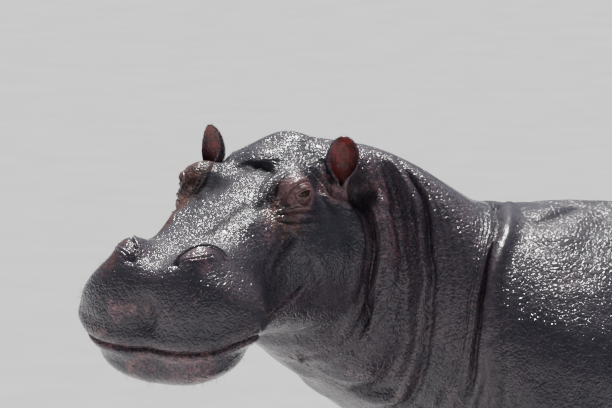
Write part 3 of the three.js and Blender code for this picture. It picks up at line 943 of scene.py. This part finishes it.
def ear_places(head, side):
    """Places in an ear's own frame, in millimetres, and whether each is beside its axis."""
    x, y, z = (head_to_ear(head, side) / MM).T
    return x, y, z, (np.abs(x) < 60) & (np.abs(y) < 50)


def in_ear(head, side):
    """1 inside an ear's cup, which opens ahead."""
    x, y, z, near = ear_places(head, side)
    t = z / (EAR_HEIGHT / MM)
    heights, widths, depths, _ = np.array(EAR_LEVELS).T
    half, deep = np.interp(t, heights, widths), np.interp(t, heights, depths)
    within = 1 - rise(np.hypot(x / half, (y - 2) / deep), 0.80, 1.0)
    return within * rise(t, 0.08, 0.30) * (t < 1.05) * near


def ear_foot(head, side):
    """1 on an ear's foot, fading out up the leaf and behind it."""
    _, y, z, near = ear_places(head, side)
    return near * rise(z, -34, 6) * (1 - 0.55 * rise(z, 10, 60)) * (1 - 0.7 * rise(y, 6, 26))


def near_curve(head, line, side, width):
    """1 on a line of the head's left side, or its mirror image, fading out over a width."""
    curve = smooth_curve(line) * (side, 1, 1)
    reach = np.ptp(curve, axis=0) / 2 + 0.08
    near = np.flatnonzero((np.abs(head - curve.mean(axis=0)) < reach).all(axis=1))
    share = np.zeros(len(head))
    away = np.linalg.norm(head[near, None] - curve[None], axis=2).min(axis=1)
    share[near] = bump(away / MM, 0, width)
    return share


# Where shade is painted darkest on both sides: in the pits ahead of the eyes, and in the hollows behind the
# ears.
PAINTED_SHADE_SPOTS = [
    # (middle, reach)
    ((114, -58, 2), (22, 44, 24)), ((98, -90, -12), (20, 26, 22)), ((230, 188, -66), (30, 30, 46)),
    ((240, 207, -78), (30, 24, 46)), ((230, 206, -30), (26, 30, 32)), ((250, 205, -84), (22, 26, 40)),
]
BRIDGE_HOLLOW = (-74, -34, 14)  # the hollow between the bridge and the right eye's mound


def paint_pink(clay, hollow, eyes, nostrils):
    head, height = clay.head, clay.points[:, 2]
    x, y, z = (head / MM).T
    station, angle = along_neck(clay.points)
    steep = np.abs(angle)
    blotch = rise(noise(clay.points, 0.075, 11) + 0.5 * noise(clay.points, 0.03, 12), 0.05, 0.6)
    lips = bump(over_mouth(head), 0, 26) * rise(-y, 40, 140)
    lower_jaw = rise(-z, 150, 330) * rise(-y, -120, 60) * rise(-y, -250, -200)
    cheek = bump(np.hypot((y + 150) / 90, (z + 70) / 70), 0, 1) * rise(np.abs(x), 110, 160)
    nape = bump(station, 500, 90) * rise(steep, 8, 24) * (1 - rise(steep, 36, 64))
    neck = rise(station, 40, 140) * (1 - rise(station, 560, 620)) * (1 - rise(steep, 70, 100))
    belly = rise(0.75 - height, 0, 0.3) * rise(height, 0.25, 0.5)
    chest = rise(station, -100, 200) * rise(steep, 60, 110)
    keep_share(clay.piece, "pink", np.maximum.reduce([
        eyes * np.where(x > 0, 1, 0.5),
        0.8 * either_side(lambda side: ear_foot(head, side)),
        0.32 * either_side(lambda side: near_curve(head, CHEEK_CREASE, side, 16)),
        0.28 * rise(hollow, 0.8, 2.6),
        0.35 * nostrils,
        0.5 * rise(-y, 300, 420) * blotch,
        0.75 * lips * (0.5 + 0.5 * blotch),
        0.5 * lower_jaw * blotch,
        0.4 * cheek,
        0.50 * nape,
        0.25 * neck,
        0.4 * chest * blotch,
        0.5 * belly * blotch,
    ]))


def paint_brown(clay):
    x, y, z = (clay.head / MM).T
    low = rise(z + 130, 0, 60)
    beside_bridge = rise(np.abs(x), 96, 132) * rise(-y, 10, 60) * rise(y + 300, 0, 80) * low
    side_share = np.where(x > 0, 0.6 * rise(y + 170, 0, 60), 1)  # the right side is the browner
    far_mound = rise(-x, 92, 116) * rise(70 - y, 0, 60) * low * (1 - 0.5 * rise(-y, 240, 340))
    temple = bump(np.hypot((np.abs(x) - 165) / 60, (y - 20) / 120), 0, 1) * rise(z, -60, 0)
    mounds = np.maximum(beside_bridge * side_share, far_mound)
    keep_share(clay.piece, "brown", 0.9 * mounds + 0.35 * temple * (1 - rise(z, 30, 60)))


def paint(clay):
    """Keeps each marking, and the painted shade and highlights, as a share at every vertex, for the
    materials to read.
    """
    places = clay.head / MM
    x, y, z = places.T
    mirrored = np.stack([np.abs(x), y, z], axis=1)
    # How far each vertex lies in a hollow or stands on a ridge: the fold share carries painted shade into
    # the hollows, and the ridge share a painted highlight onto the ridges
    relaxed = smoothed(clay.points.astype(np.float32), neighbour_table(clay.mesh), 0.5, 14)
    hollow = ((relaxed - clay.points) * clay.normals).sum(axis=1) / MM
    keep_share(clay.piece, "fold", hollow / 2.2)
    keep_share(clay.piece, "ridge", -hollow / 2.2)

    ears = either_side(lambda side: in_ear(clay.head, side))
    eyes = either_side(lambda side: round_eye(clay.head, side))
    nostrils = blob(mirrored, (112, -430, -44), (60, 60, 34))
    keep_share(clay.piece, "red", ears)
    paint_pink(clay, hollow, eyes, nostrils)
    paint_brown(clay)

    # a dull strip down the bridge, left of its middle, which also takes the darker colour of the painted
    # shade
    strip = bump(x - 0.148 * y, 81, 25) * rise(-y, 68, 112) * rise(305 + y, 0, 45) * (z > -90)
    # painted shade in the forehead's hollow, in the hollow beside the bridge, and in the pits and hollows
    # on both sides
    keep_share(clay.piece, "dark", np.maximum.reduce([
        0.8 * blob(places, (10, 58, 36), (54, 26, 40), 1.1),
        blob(places, BRIDGE_HOLLOW, (46, 62, 36), 1.2),
        0.76 * strip,
        *(blob(mirrored, middle, reach) for middle, reach in PAINTED_SHADE_SPOTS),
    ]))
    station, angle = along_neck(clay.points)
    withers = bump(ring(angle, WITHERS_CREASE) - station, 36, 22) * rise(110 - np.abs(angle), 0, 30)
    keep_share(clay.piece, "smooth", np.maximum.reduce([
        0.8 * nostrils,
        0.7 * ears,
        0.65 * eyes,
        0.6 * strip,
        0.8 * withers,
        0.6 * blob(mirrored, (206, 60, -170), (60, 130, 130)),
        blob(places, BRIDGE_HOLLOW, (48, 62, 36), 1.2),
        blob(places, (0, 58, 36), (46, 22, 36)),
    ]))


# ---- Materials ----


class Graph:
    """Builds one material's nodes. Any input may be a number, a colour or another node's output."""

    def __init__(self, name):
        self.material = bpy.data.materials.new(name)
        self.material.use_nodes = True
        self.tree = self.material.node_tree
        self.shader = self.tree.nodes["Principled BSDF"]

    def put(self, socket, value):
        if isinstance(value, bpy.types.NodeSocket):
            self.tree.links.new(value, socket)
        elif isinstance(value, tuple) and len(value) == 3 and socket.type == "RGBA":
            socket.default_value = (*value, 1)
        else:
            socket.default_value = value

    def node(self, kind, inputs=(), **settings):
        made = self.tree.nodes.new("ShaderNode" + kind)
        for name, value in settings.items():
            setattr(made, name, value)
        for name, value in dict(inputs).items():
            self.put(made.inputs[name], value)
        return made

    def places(self):
        return self.node("TexCoord").outputs["Object"]

    def share(self, name):
        return self.node("Attribute", attribute_name=name).outputs["Fac"]

    def noise(self, vector, scale, detail=3.0, rough=0.55):
        inputs = {"Vector": vector, "Scale": scale, "Detail": detail, "Roughness": rough}
        return self.node("TexNoise", inputs).outputs["Fac"]

    def cells(self, vector, scale, feature="F1"):
        made = self.node("TexVoronoi", {"Vector": vector, "Scale": scale}, feature=feature)
        return made.outputs["Distance"]

    def math(self, operation, a, b):
        return self.node("Math", {0: a, 1: b}, operation=operation).outputs[0]

    def times(self, a, b):
        return self.math("MULTIPLY", a, b)

    def plus(self, a, b):
        return self.math("ADD", a, b)

    def ramp(self, value, low, high, start=0.0, end=1.0):
        inputs = {"Value": value, "From Min": low, "From Max": high, "To Min": start, "To Max": end}
        return self.node("MapRange", inputs, interpolation_type="SMOOTHSTEP").outputs["Result"]

    def mix(self, share, a, b, kind="MIX"):
        made = self.node("Mix", data_type="RGBA", blend_type=kind)
        for index, value in ((0, share), (6, a), (7, b)):
            self.put(made.inputs[index], value)
        return made.outputs[2]

    def warped(self, vector, scale, amount):
        """The places pushed about by noise, so that cells aren't straight-edged."""
        wander = self.node("TexNoise", {"Vector": vector, "Scale": scale, "Detail": 2.0}).outputs["Color"]
        inputs = {0: wander, 1: (amount, amount, amount), 2: vector}
        return self.node("VectorMath", inputs, operation="MULTIPLY_ADD").outputs[0]

    def bumps(self, *layers):
        """Each layer is (height, strength, distance in metres), the broadest first."""
        normal = None
        for height, strength, distance in layers:
            made = self.node("Bump", {"Height": height, "Strength": strength, "Distance": distance})
            if normal:
                self.put(made.inputs["Normal"], normal)
            normal = made.outputs["Normal"]
        return normal

    def finish(self, **inputs):
        for name, value in inputs.items():
            self.put(self.shader.inputs[name.replace("_", " ")], value)
        return self.material


def hide_material():
    """Wet skin: slate and purple-grey, freckled with pink, cracked into fine cells, with painted shade in
    its folds and hollows and painted highlights on its ridges.
    """
    g = Graph("hide")
    place = g.places()
    wandering = g.warped(place, 42.0, 0.012)
    fold, ridge, pink, red, smooth, brown, dark = (
        g.share(n) for n in ("fold", "ridge", "pink", "red", "smooth", "brown", "dark")
    )
    broad = g.ramp(g.noise(place, 5.0, 4.0), 0.38, 0.62)
    patch = g.ramp(g.noise(place, 21.0, 5.0, 0.65), 0.42, 0.60)
    grain = g.noise(place, 420.0, 2.0)
    freckle = g.ramp(g.noise(wandering, 150.0, 3.0, 0.7), 0.50, 0.66)
    uneven_tone = g.ramp(g.noise(place, 55.0, 4.0, 0.65), 0.25, 0.75, -0.30, 0.30)
    coarse = g.ramp(g.noise(place, 36.0, 4.0, 0.7), 0.40, 0.62)
    bark = g.mix(coarse, (0.042, 0.018, 0.015), (0.130, 0.047, 0.032))
    flush = g.mix(g.ramp(g.noise(place, 90.0), 0.3, 0.7), (0.135, 0.060, 0.070), (0.335, 0.168, 0.165))
    clotted = g.ramp(g.noise(place, 60.0, 4.0, 0.7), 0.40, 0.62)
    blood = g.mix(clotted, (0.27, 0.032, 0.028), (0.085, 0.028, 0.027))
    # the colour of the painted highlight on ridges, pinker where the skin is pink
    painted_ridge_highlight = g.mix(pink, (0.100, 0.078, 0.092), (0.430, 0.255, 0.240))
    colour = g.mix(broad, (0.015, 0.016, 0.026), (0.036, 0.027, 0.039))
    for share, tone in (
        (g.times(patch, 0.5), (0.064, 0.047, 0.062)),
        (g.times(freckle, g.ramp(pink, 0.02, 0.5, 0.12, 0.75)), (0.225, 0.100, 0.160)),
        (g.times(g.ramp(g.plus(brown, uneven_tone), 0.10, 0.7), 0.95), bark),
        (g.times(g.ramp(g.plus(pink, uneven_tone), 0.30, 0.85), 0.85), flush),
        (red, blood),
        # painted shade in the folds and creases
        (g.times(fold, 0.85), (0.016, 0.009, 0.011)),
        # painted highlight along the ridges
        (g.times(ridge, g.ramp(pink, 0.3, 1.0, 0.25, 0.65)), painted_ridge_highlight),
        (g.ramp(grain, 0.35, 0.75, 0.0, 0.22), (0.092, 0.074, 0.088)),
        # painted shade in the hollows, which also darkens the dull strip
        (g.times(dark, 0.9), (0.010, 0.009, 0.014)),
    ):
        colour = g.mix(share, colour, tone)
    rough = g.plus(g.ramp(g.noise(place, 70.0, 4.0), 0.3, 0.7, 0.40, 0.60), g.times(dark, 0.35))
    uneven = g.math("SUBTRACT", 1.0, g.times(smooth, 0.85))
    cracks = g.ramp(g.cells(wandering, 62.0, "DISTANCE_TO_EDGE"), 0.0, 0.16)
    pores = g.ramp(g.cells(wandering, 135.0), 0.05, 0.62)
    normal = g.bumps(
        (g.noise(place, 30.0, 3.0), 0.35, 0.010),
        (cracks, g.times(uneven, 0.38), 0.0030),
        (pores, g.times(uneven, 0.8), 0.0014),
        (grain, 0.35, 0.0008),
    )
    dry = g.plus(g.times(g.math("MAXIMUM", brown, red), 0.45), g.times(g.ramp(dark, 0.0, 0.8), 0.9))
    wet = g.math("SUBTRACT", 0.92, g.math("MINIMUM", dry, 0.9))
    return g.finish(
        Base_Color=colour, Roughness=rough, Normal=normal, Coat_Normal=normal, Coat_Weight=wet,
        Coat_Roughness=0.10, Specular_IOR_Level=0.2,
    )


def eye_material():
    """A dark brown iris with a broad pupil, in a brown-pink ball under clear gloss."""
    g = Graph("eye")
    away = g.share("away")
    place = g.places()
    streak = g.ramp(g.noise(place, 700.0, 2.0), 0.3, 0.7)
    iris = g.mix(streak, (0.026, 0.012, 0.006), (0.075, 0.034, 0.016))
    vein = g.ramp(g.noise(place, 160.0, 4.0), 0.4, 0.7)
    white = g.mix(vein, (0.110, 0.054, 0.038), (0.060, 0.028, 0.020))
    colour = g.mix(g.ramp(away, 0.14, 0.17), (0.002, 0.002, 0.002), iris)
    colour = g.mix(g.ramp(away, 0.30, 0.35), colour, (0.008, 0.005, 0.004))
    colour = g.mix(g.ramp(away, 0.36, 0.41), colour, white)
    return g.finish(Base_Color=colour, Roughness=0.06, Specular_IOR_Level=0.22)


def nail_material():
    """Worn horn, darker at its root, with fine upright grooves."""
    g = Graph("nail")
    place = g.places()
    stretch = g.node("Mapping", {"Vector": place, "Scale": (1.0, 1.0, 0.12)}).outputs[0]
    groove = g.noise(stretch, 260.0, 3.0)
    height = g.node("SeparateXYZ", {0: place}).outputs["Z"]
    worn = g.ramp(g.noise(place, 60.0, 4.0), 0.35, 0.65)
    colour = g.mix(worn, (0.085, 0.070, 0.060), (0.190, 0.160, 0.135))
    colour = g.mix(g.ramp(height, 0.010, 0.055), colour, (0.060, 0.050, 0.048))
    colour = g.mix(g.ramp(groove, 0.45, 0.7, 0.0, 0.35), colour, (0.035, 0.028, 0.026))
    return g.finish(Base_Color=colour, Roughness=g.ramp(groove, 0.3, 0.7, 0.34, 0.55),
                    Normal=g.bumps((groove, 0.6, 0.0012)), Coat_Weight=0.25, Coat_Roughness=0.2)


def bristle_material():
    g = Graph("bristle")
    tone = g.ramp(g.noise(g.places(), 300.0, 2.0), 0.35, 0.65)
    colour = g.mix(tone, (0.075, 0.045, 0.034), (0.200, 0.120, 0.085))
    return g.finish(Base_Color=colour, Roughness=0.45)


def floor_material():
    g = Graph("floor")
    tone = g.ramp(g.noise(g.places(), 3.0, 3.0), 0.3, 0.7)
    colour = g.mix(tone, (0.505, 0.505, 0.505), (0.545, 0.545, 0.545))
    return g.finish(Base_Color=colour, Roughness=0.85, Specular_IOR_Level=0.2)


# ---- Eyeballs, nails and bristles ----

GAZE_FORWARD, GAZE_UP = 16, 3  # degrees from straight sideways
CORNEA_RISE = 1.3 * MM
NAIL_LENGTH, NAIL_WIDTH, NAIL_HEIGHT = 18, 24, 30  # half of each
NAIL_TAPER, NAIL_SLOPE = 5, 3  # how much narrower and further back it is at its top
NAIL_CLEARANCE = 0.5 * MM  # above the floor
HAIR_RINGS, HAIR_SIDES = 4, 3
ACROSS_HAIRS = [0.31, 0.22, 0.92]  # a way that no hair grows


def rounded_piece(name, points, faces, material):
    mesh = bpy.data.meshes.new(name)
    mesh.from_pydata(points, [], faces)
    mesh.materials.append(material)
    mesh.polygons.foreach_set("use_smooth", [True] * len(mesh.polygons))
    return linked(name, mesh)


def ball(rows=64, columns=72):
    """A unit sphere with its poles along x: its points and faces."""
    polar = np.linspace(0, np.pi, rows + 1)[1:-1]
    turn = np.linspace(0, 2 * np.pi, columns, endpoint=False)
    p, t = np.meshgrid(polar, turn, indexing="ij")
    rings = np.stack([np.cos(p), np.sin(p) * np.cos(t), np.sin(p) * np.sin(t)], axis=2).reshape(-1, 3)
    points = np.concatenate([rings, [[1, 0, 0], [-1, 0, 0]]])
    first, last = len(rings), len(rings) + 1
    faces = []
    for c in range(columns):
        d = (c + 1) % columns
        faces.append((first, c, d))
        for r in range(rows - 2):
            a = r * columns
            faces.append((a + c, a + columns + c, a + columns + d, a + d))
        a = (rows - 2) * columns
        faces.append((a + c, last, a + d))
    return points, faces


def make_eye(name, side, material):
    points, faces = ball()
    away = np.arccos(points[:, 0].clip(-1, 1)) / np.pi * 2
    radius = EYE_RADIUS + CORNEA_RISE * (1 - rise(away, 0.20, 0.42))
    forward, up = math.radians(GAZE_FORWARD), math.radians(GAZE_UP)
    level = np.array([side * math.cos(forward), -math.sin(forward), 0])
    gaze = math.cos(up) * level + (0, 0, math.sin(up))
    beside_gaze = unit(np.cross([0, 0, 1], gaze))
    axes = np.stack([gaze, beside_gaze, np.cross(gaze, beside_gaze)])
    places = from_head((points * radius[:, None]) @ axes + eye_frame(side)[0])
    piece = rounded_piece(f"eyeball_{name}", places, faces, material)
    keep_share(piece, "away", away)
    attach(piece, "root")
    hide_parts(f"eye_{name}")


def make_nail(leg, toe, material):
    """A blunt hoof: flat in front, arched above, worn level with the floor."""
    middle = middle_of(f"nail_{leg}_{toe}")
    ahead = toe_ahead(toe)
    across = np.cross([0, 0, 1], ahead)
    points, faces = ball(28, 36)
    out, aside, up = points.T
    aside = np.sign(aside) * np.abs(aside) ** 0.85
    forward = NAIL_LENGTH * np.sign(out) * np.abs(out) ** 0.8 - NAIL_SLOPE * up
    width = NAIL_WIDTH - NAIL_TAPER * rise(up, 0, 1)
    places = middle + MM * (forward[:, None] * ahead + (width * aside)[:, None] * across)
    places[:, 2] = (middle[2] + NAIL_HEIGHT * MM * up).clip(NAIL_CLEARANCE)
    piece = rounded_piece(f"horn_{leg}_{toe}", places, faces, material)
    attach(piece, "root")
    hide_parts(f"nail_{leg}_{toe}")


BOX_LOW, BOX_HIGH = (np.array(corner) for corner in CAD_BOX)
PATCH = 0.003  # a bristle's patch on its map


def unwrapped(points, normals):
    """Places on a map that lays the skin out as six sheets, one for each way that it can face."""
    share = ((points - BOX_LOW) / (BOX_HIGH - BOX_LOW)).clip(0, 1)
    axis = np.abs(normals).argmax(axis=1)
    row = (np.take_along_axis(normals, axis[:, None], axis=1)[:, 0] > 0).astype(float)
    first = np.take_along_axis(share, ((axis + 1) % 3)[:, None], axis=1)[:, 0]
    second = np.take_along_axis(share, ((axis + 2) % 3)[:, None], axis=1)[:, 0]
    return np.stack([(axis + 0.01 + 0.97 * first) / 3, (row + 0.01 + 0.97 * second) / 2], axis=1)


def bristles(name, roots, normals, ways, lengths, thickness, sag, material):
    """Tapered hairs of three sides, each from its root along its way and drooping by sag."""
    along = np.linspace(0, 1, HAIR_RINGS + 1)[:-1]
    aside = unit(np.cross(ways, ACROSS_HAIRS))
    over = np.cross(ways, aside)
    points = []
    for t in along:
        middle = roots + ways * (lengths * t)[:, None] - np.outer(lengths * sag * t**2, [0, 0, 1])
        for k in range(HAIR_SIDES):
            turn = 2 * math.pi * k / HAIR_SIDES
            radius = thickness / 2 * (1 - 0.8 * t)
            points.append(middle + radius * (math.cos(turn) * aside + math.sin(turn) * over))
    points.append(roots + ways * lengths[:, None] - np.outer(lengths * sag, [0, 0, 1]))
    per_hair = len(points)
    points = np.stack(points, axis=1).reshape(-1, 3)
    faces = [[2, 1, 0]]
    for r, k in itertools.product(range(HAIR_RINGS), range(HAIR_SIDES)):
        a, b = r * HAIR_SIDES + k, r * HAIR_SIDES + (k + 1) % HAIR_SIDES
        if r < HAIR_RINGS - 1:
            faces += [[a, b, b + HAIR_SIDES], [a, b + HAIR_SIDES, a + HAIR_SIDES]]
        else:
            faces.append([a, b, per_hair - 1])
    faces = (np.array(faces)[None] + (np.arange(len(roots)) * per_hair)[:, None, None]).reshape(-1, 3)
    piece = rounded_piece(name, points, faces, material)
    flat = unwrapped(roots, normals)
    corner = np.array([[0, 0], [PATCH, 0], [0, PATCH]])
    per_face = np.repeat(flat, len(faces) // len(roots), axis=0)
    uv = (per_face[:, None] + corner[None]).reshape(-1)
    piece.data.uv_layers.new(name="OFBake").data.foreach_set("uv", uv)
    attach(piece, "root")


def chosen_roots(rng, weight, count):
    share = np.cumsum(weight / weight.sum())
    return np.searchsorted(share, rng.random(count))


def ear_rim(clay, side):
    """1 where the skin faces away from the middle of an ear's leaf, on its upper half."""
    across, _, up, near = ear_places(clay.head, side)
    facing = clay.normals @ HEAD_AXES @ ear_axes(side)
    outward = (facing[:, 0] * across + facing[:, 2] * (up - 90)) / 70
    return near * rise(outward, 0.3, 0.7) * rise(up, 70, 120)


def make_bristles(clay, material):
    rng = np.random.default_rng(7)
    _, y, z = (clay.head / MM).T
    normals = clay.normals
    over = over_mouth(clay.head)
    pads = noise(clay.points, 0.022, 21) > 0.15
    rims = either_side(lambda side: ear_rim(clay, side))
    upper_lip = pads * rise(-y, 330, 400) * (over > 8) * rise(-z, 70, 120)
    chin = pads * rise(-y, 230, 330) * (over < -18) * (z > -470)
    tail_low, tail_high = (np.array(corner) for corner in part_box("tail"))
    aside = clay.points[:, 0] - (tail_low + tail_high)[0] / 2
    below = tail_low[2] + 0.26 - clay.points[:, 2]
    tuft = (np.abs(aside) < 0.06) & (clay.points[:, 1] > tail_high[1] - 0.09) & (below > 0)
    tuft = tuft * rise(below, 0, 0.2) * rise(np.abs(normals[:, 1]), 0.3, 0.8)
    groups = [
        # name, weight, count, shortest, longest, thickness, how much of the way is up or down, sag
        ("whiskers", upper_lip, 300, 8, 22, 0.8, -0.25, 0.25),
        ("chin_bristles", chin, 220, 6, 18, 0.8, -0.45, 0.2),
        ("ear_fringes", rims, 1500, 2, 6, 0.40, 0.4, 0.0),
        ("tail_bristles", tuft, 420, 25, 60, 1.5, -0.9, 0.3),
    ]
    for name, weight, count, shortest, longest, thickness, lean, sag in groups:
        at = chosen_roots(rng, weight, count)
        ways = unit(normals[at] + rng.normal(0, 0.28, (count, 3)) + (0, 0, lean))
        lengths = rng.uniform(shortest, longest, count) * MM
        roots = clay.points[at] - normals[at] * MM
        bristles(name, roots, normals[at], ways, lengths, thickness * MM, sag, material)


# ---- Camera, light and floor ----

CAMERA_AZIMUTH, CAMERA_ELEVATION = math.radians(76.5), math.radians(6.5)
CAMERA_DISTANCE = 20.0
VIEW_WIDTH = 1.6105  # metres across the picture at the aim
AIM_RIGHT, AIM_UP = 0.163, -0.046  # from midway between the eyes
SENSOR_WIDTH = 36.0
SKY_COLOUR, SKY_STRENGTH = (0.74, 0.82, 0.95, 1), 0.30
SUN_COLOUR, SUN_STRENGTH = (1.0, 0.975, 0.95), 7.0
SUN_SPREAD = math.radians(10)  # a broad sun, for soft shadows
SUN_FROM = Vector((-0.42, 0.12, 0.90))
FLOOR_REACH = 150.0


def place_camera():
    sin_a, cos_a = math.sin(CAMERA_AZIMUTH), math.cos(CAMERA_AZIMUTH)
    sin_e, cos_e = math.sin(CAMERA_ELEVATION), math.cos(CAMERA_ELEVATION)
    back = Vector((sin_a * cos_e, -cos_a * cos_e, sin_e))
    right = Vector((cos_a, sin_a, 0))
    up = back.cross(right)
    data = bpy.data.cameras.new("camera")
    data.sensor_width = SENSOR_WIDTH
    data.lens = SENSOR_WIDTH * CAMERA_DISTANCE / VIEW_WIDTH
    data.clip_end = 500
    camera = bpy.data.objects.new("camera", data)
    bpy.context.scene.collection.objects.link(camera)
    place = Vector(MID_EYES) + AIM_RIGHT * right + AIM_UP * up + CAMERA_DISTANCE * back
    turn = Matrix((right, up, back)).transposed().to_4x4()
    camera.matrix_world = Matrix.Translation(place) @ turn
    bpy.context.scene.camera = camera


def light_scene():
    world = bpy.data.worlds.new("studio")
    bpy.context.scene.world = world
    world.use_nodes = True
    background = world.node_tree.nodes["Background"]
    background.inputs["Color"].default_value = SKY_COLOUR
    background.inputs["Strength"].default_value = SKY_STRENGTH
    key = bpy.data.lights.new("key", "SUN")
    key.energy = SUN_STRENGTH
    key.angle = SUN_SPREAD
    key.color = SUN_COLOUR
    lamp = bpy.data.objects.new("key", key)
    lamp.rotation_euler = SUN_FROM.to_track_quat("Z", "Y").to_euler()
    bpy.context.scene.collection.objects.link(lamp)


def make_floor():
    mesh = bpy.data.meshes.new("floor")
    corners = [(-1, -1, 0), (1, -1, 0), (1, 1, 0), (-1, 1, 0)]
    mesh.from_pydata(np.array(corners) * FLOOR_REACH, [], [(0, 1, 2, 3)])
    floor = linked("floor", mesh)
    mesh.materials.append(floor_material())


# ---- Putting it together ----

place_camera()
light_scene()
make_floor()

skin = first_skin()
smooth_first_form(skin)
clay = sculpt(skin)
paint(clay)
skin.data.materials.append(hide_material())
skin.data.polygons.foreach_set("use_smooth", [True] * len(skin.data.polygons))
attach(skin, "root")
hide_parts(*FLESH, "ear_left", "ear_right")

eye_finish, nail_finish, bristle_finish = eye_material(), nail_material(), bristle_material()
for name, side in SIDES.items():
    make_eye(name, side, eye_finish)
for leg, toe in itertools.product(LEGS, TOES):
    make_nail(leg, toe, nail_finish)
make_bristles(clay, bristle_finish)
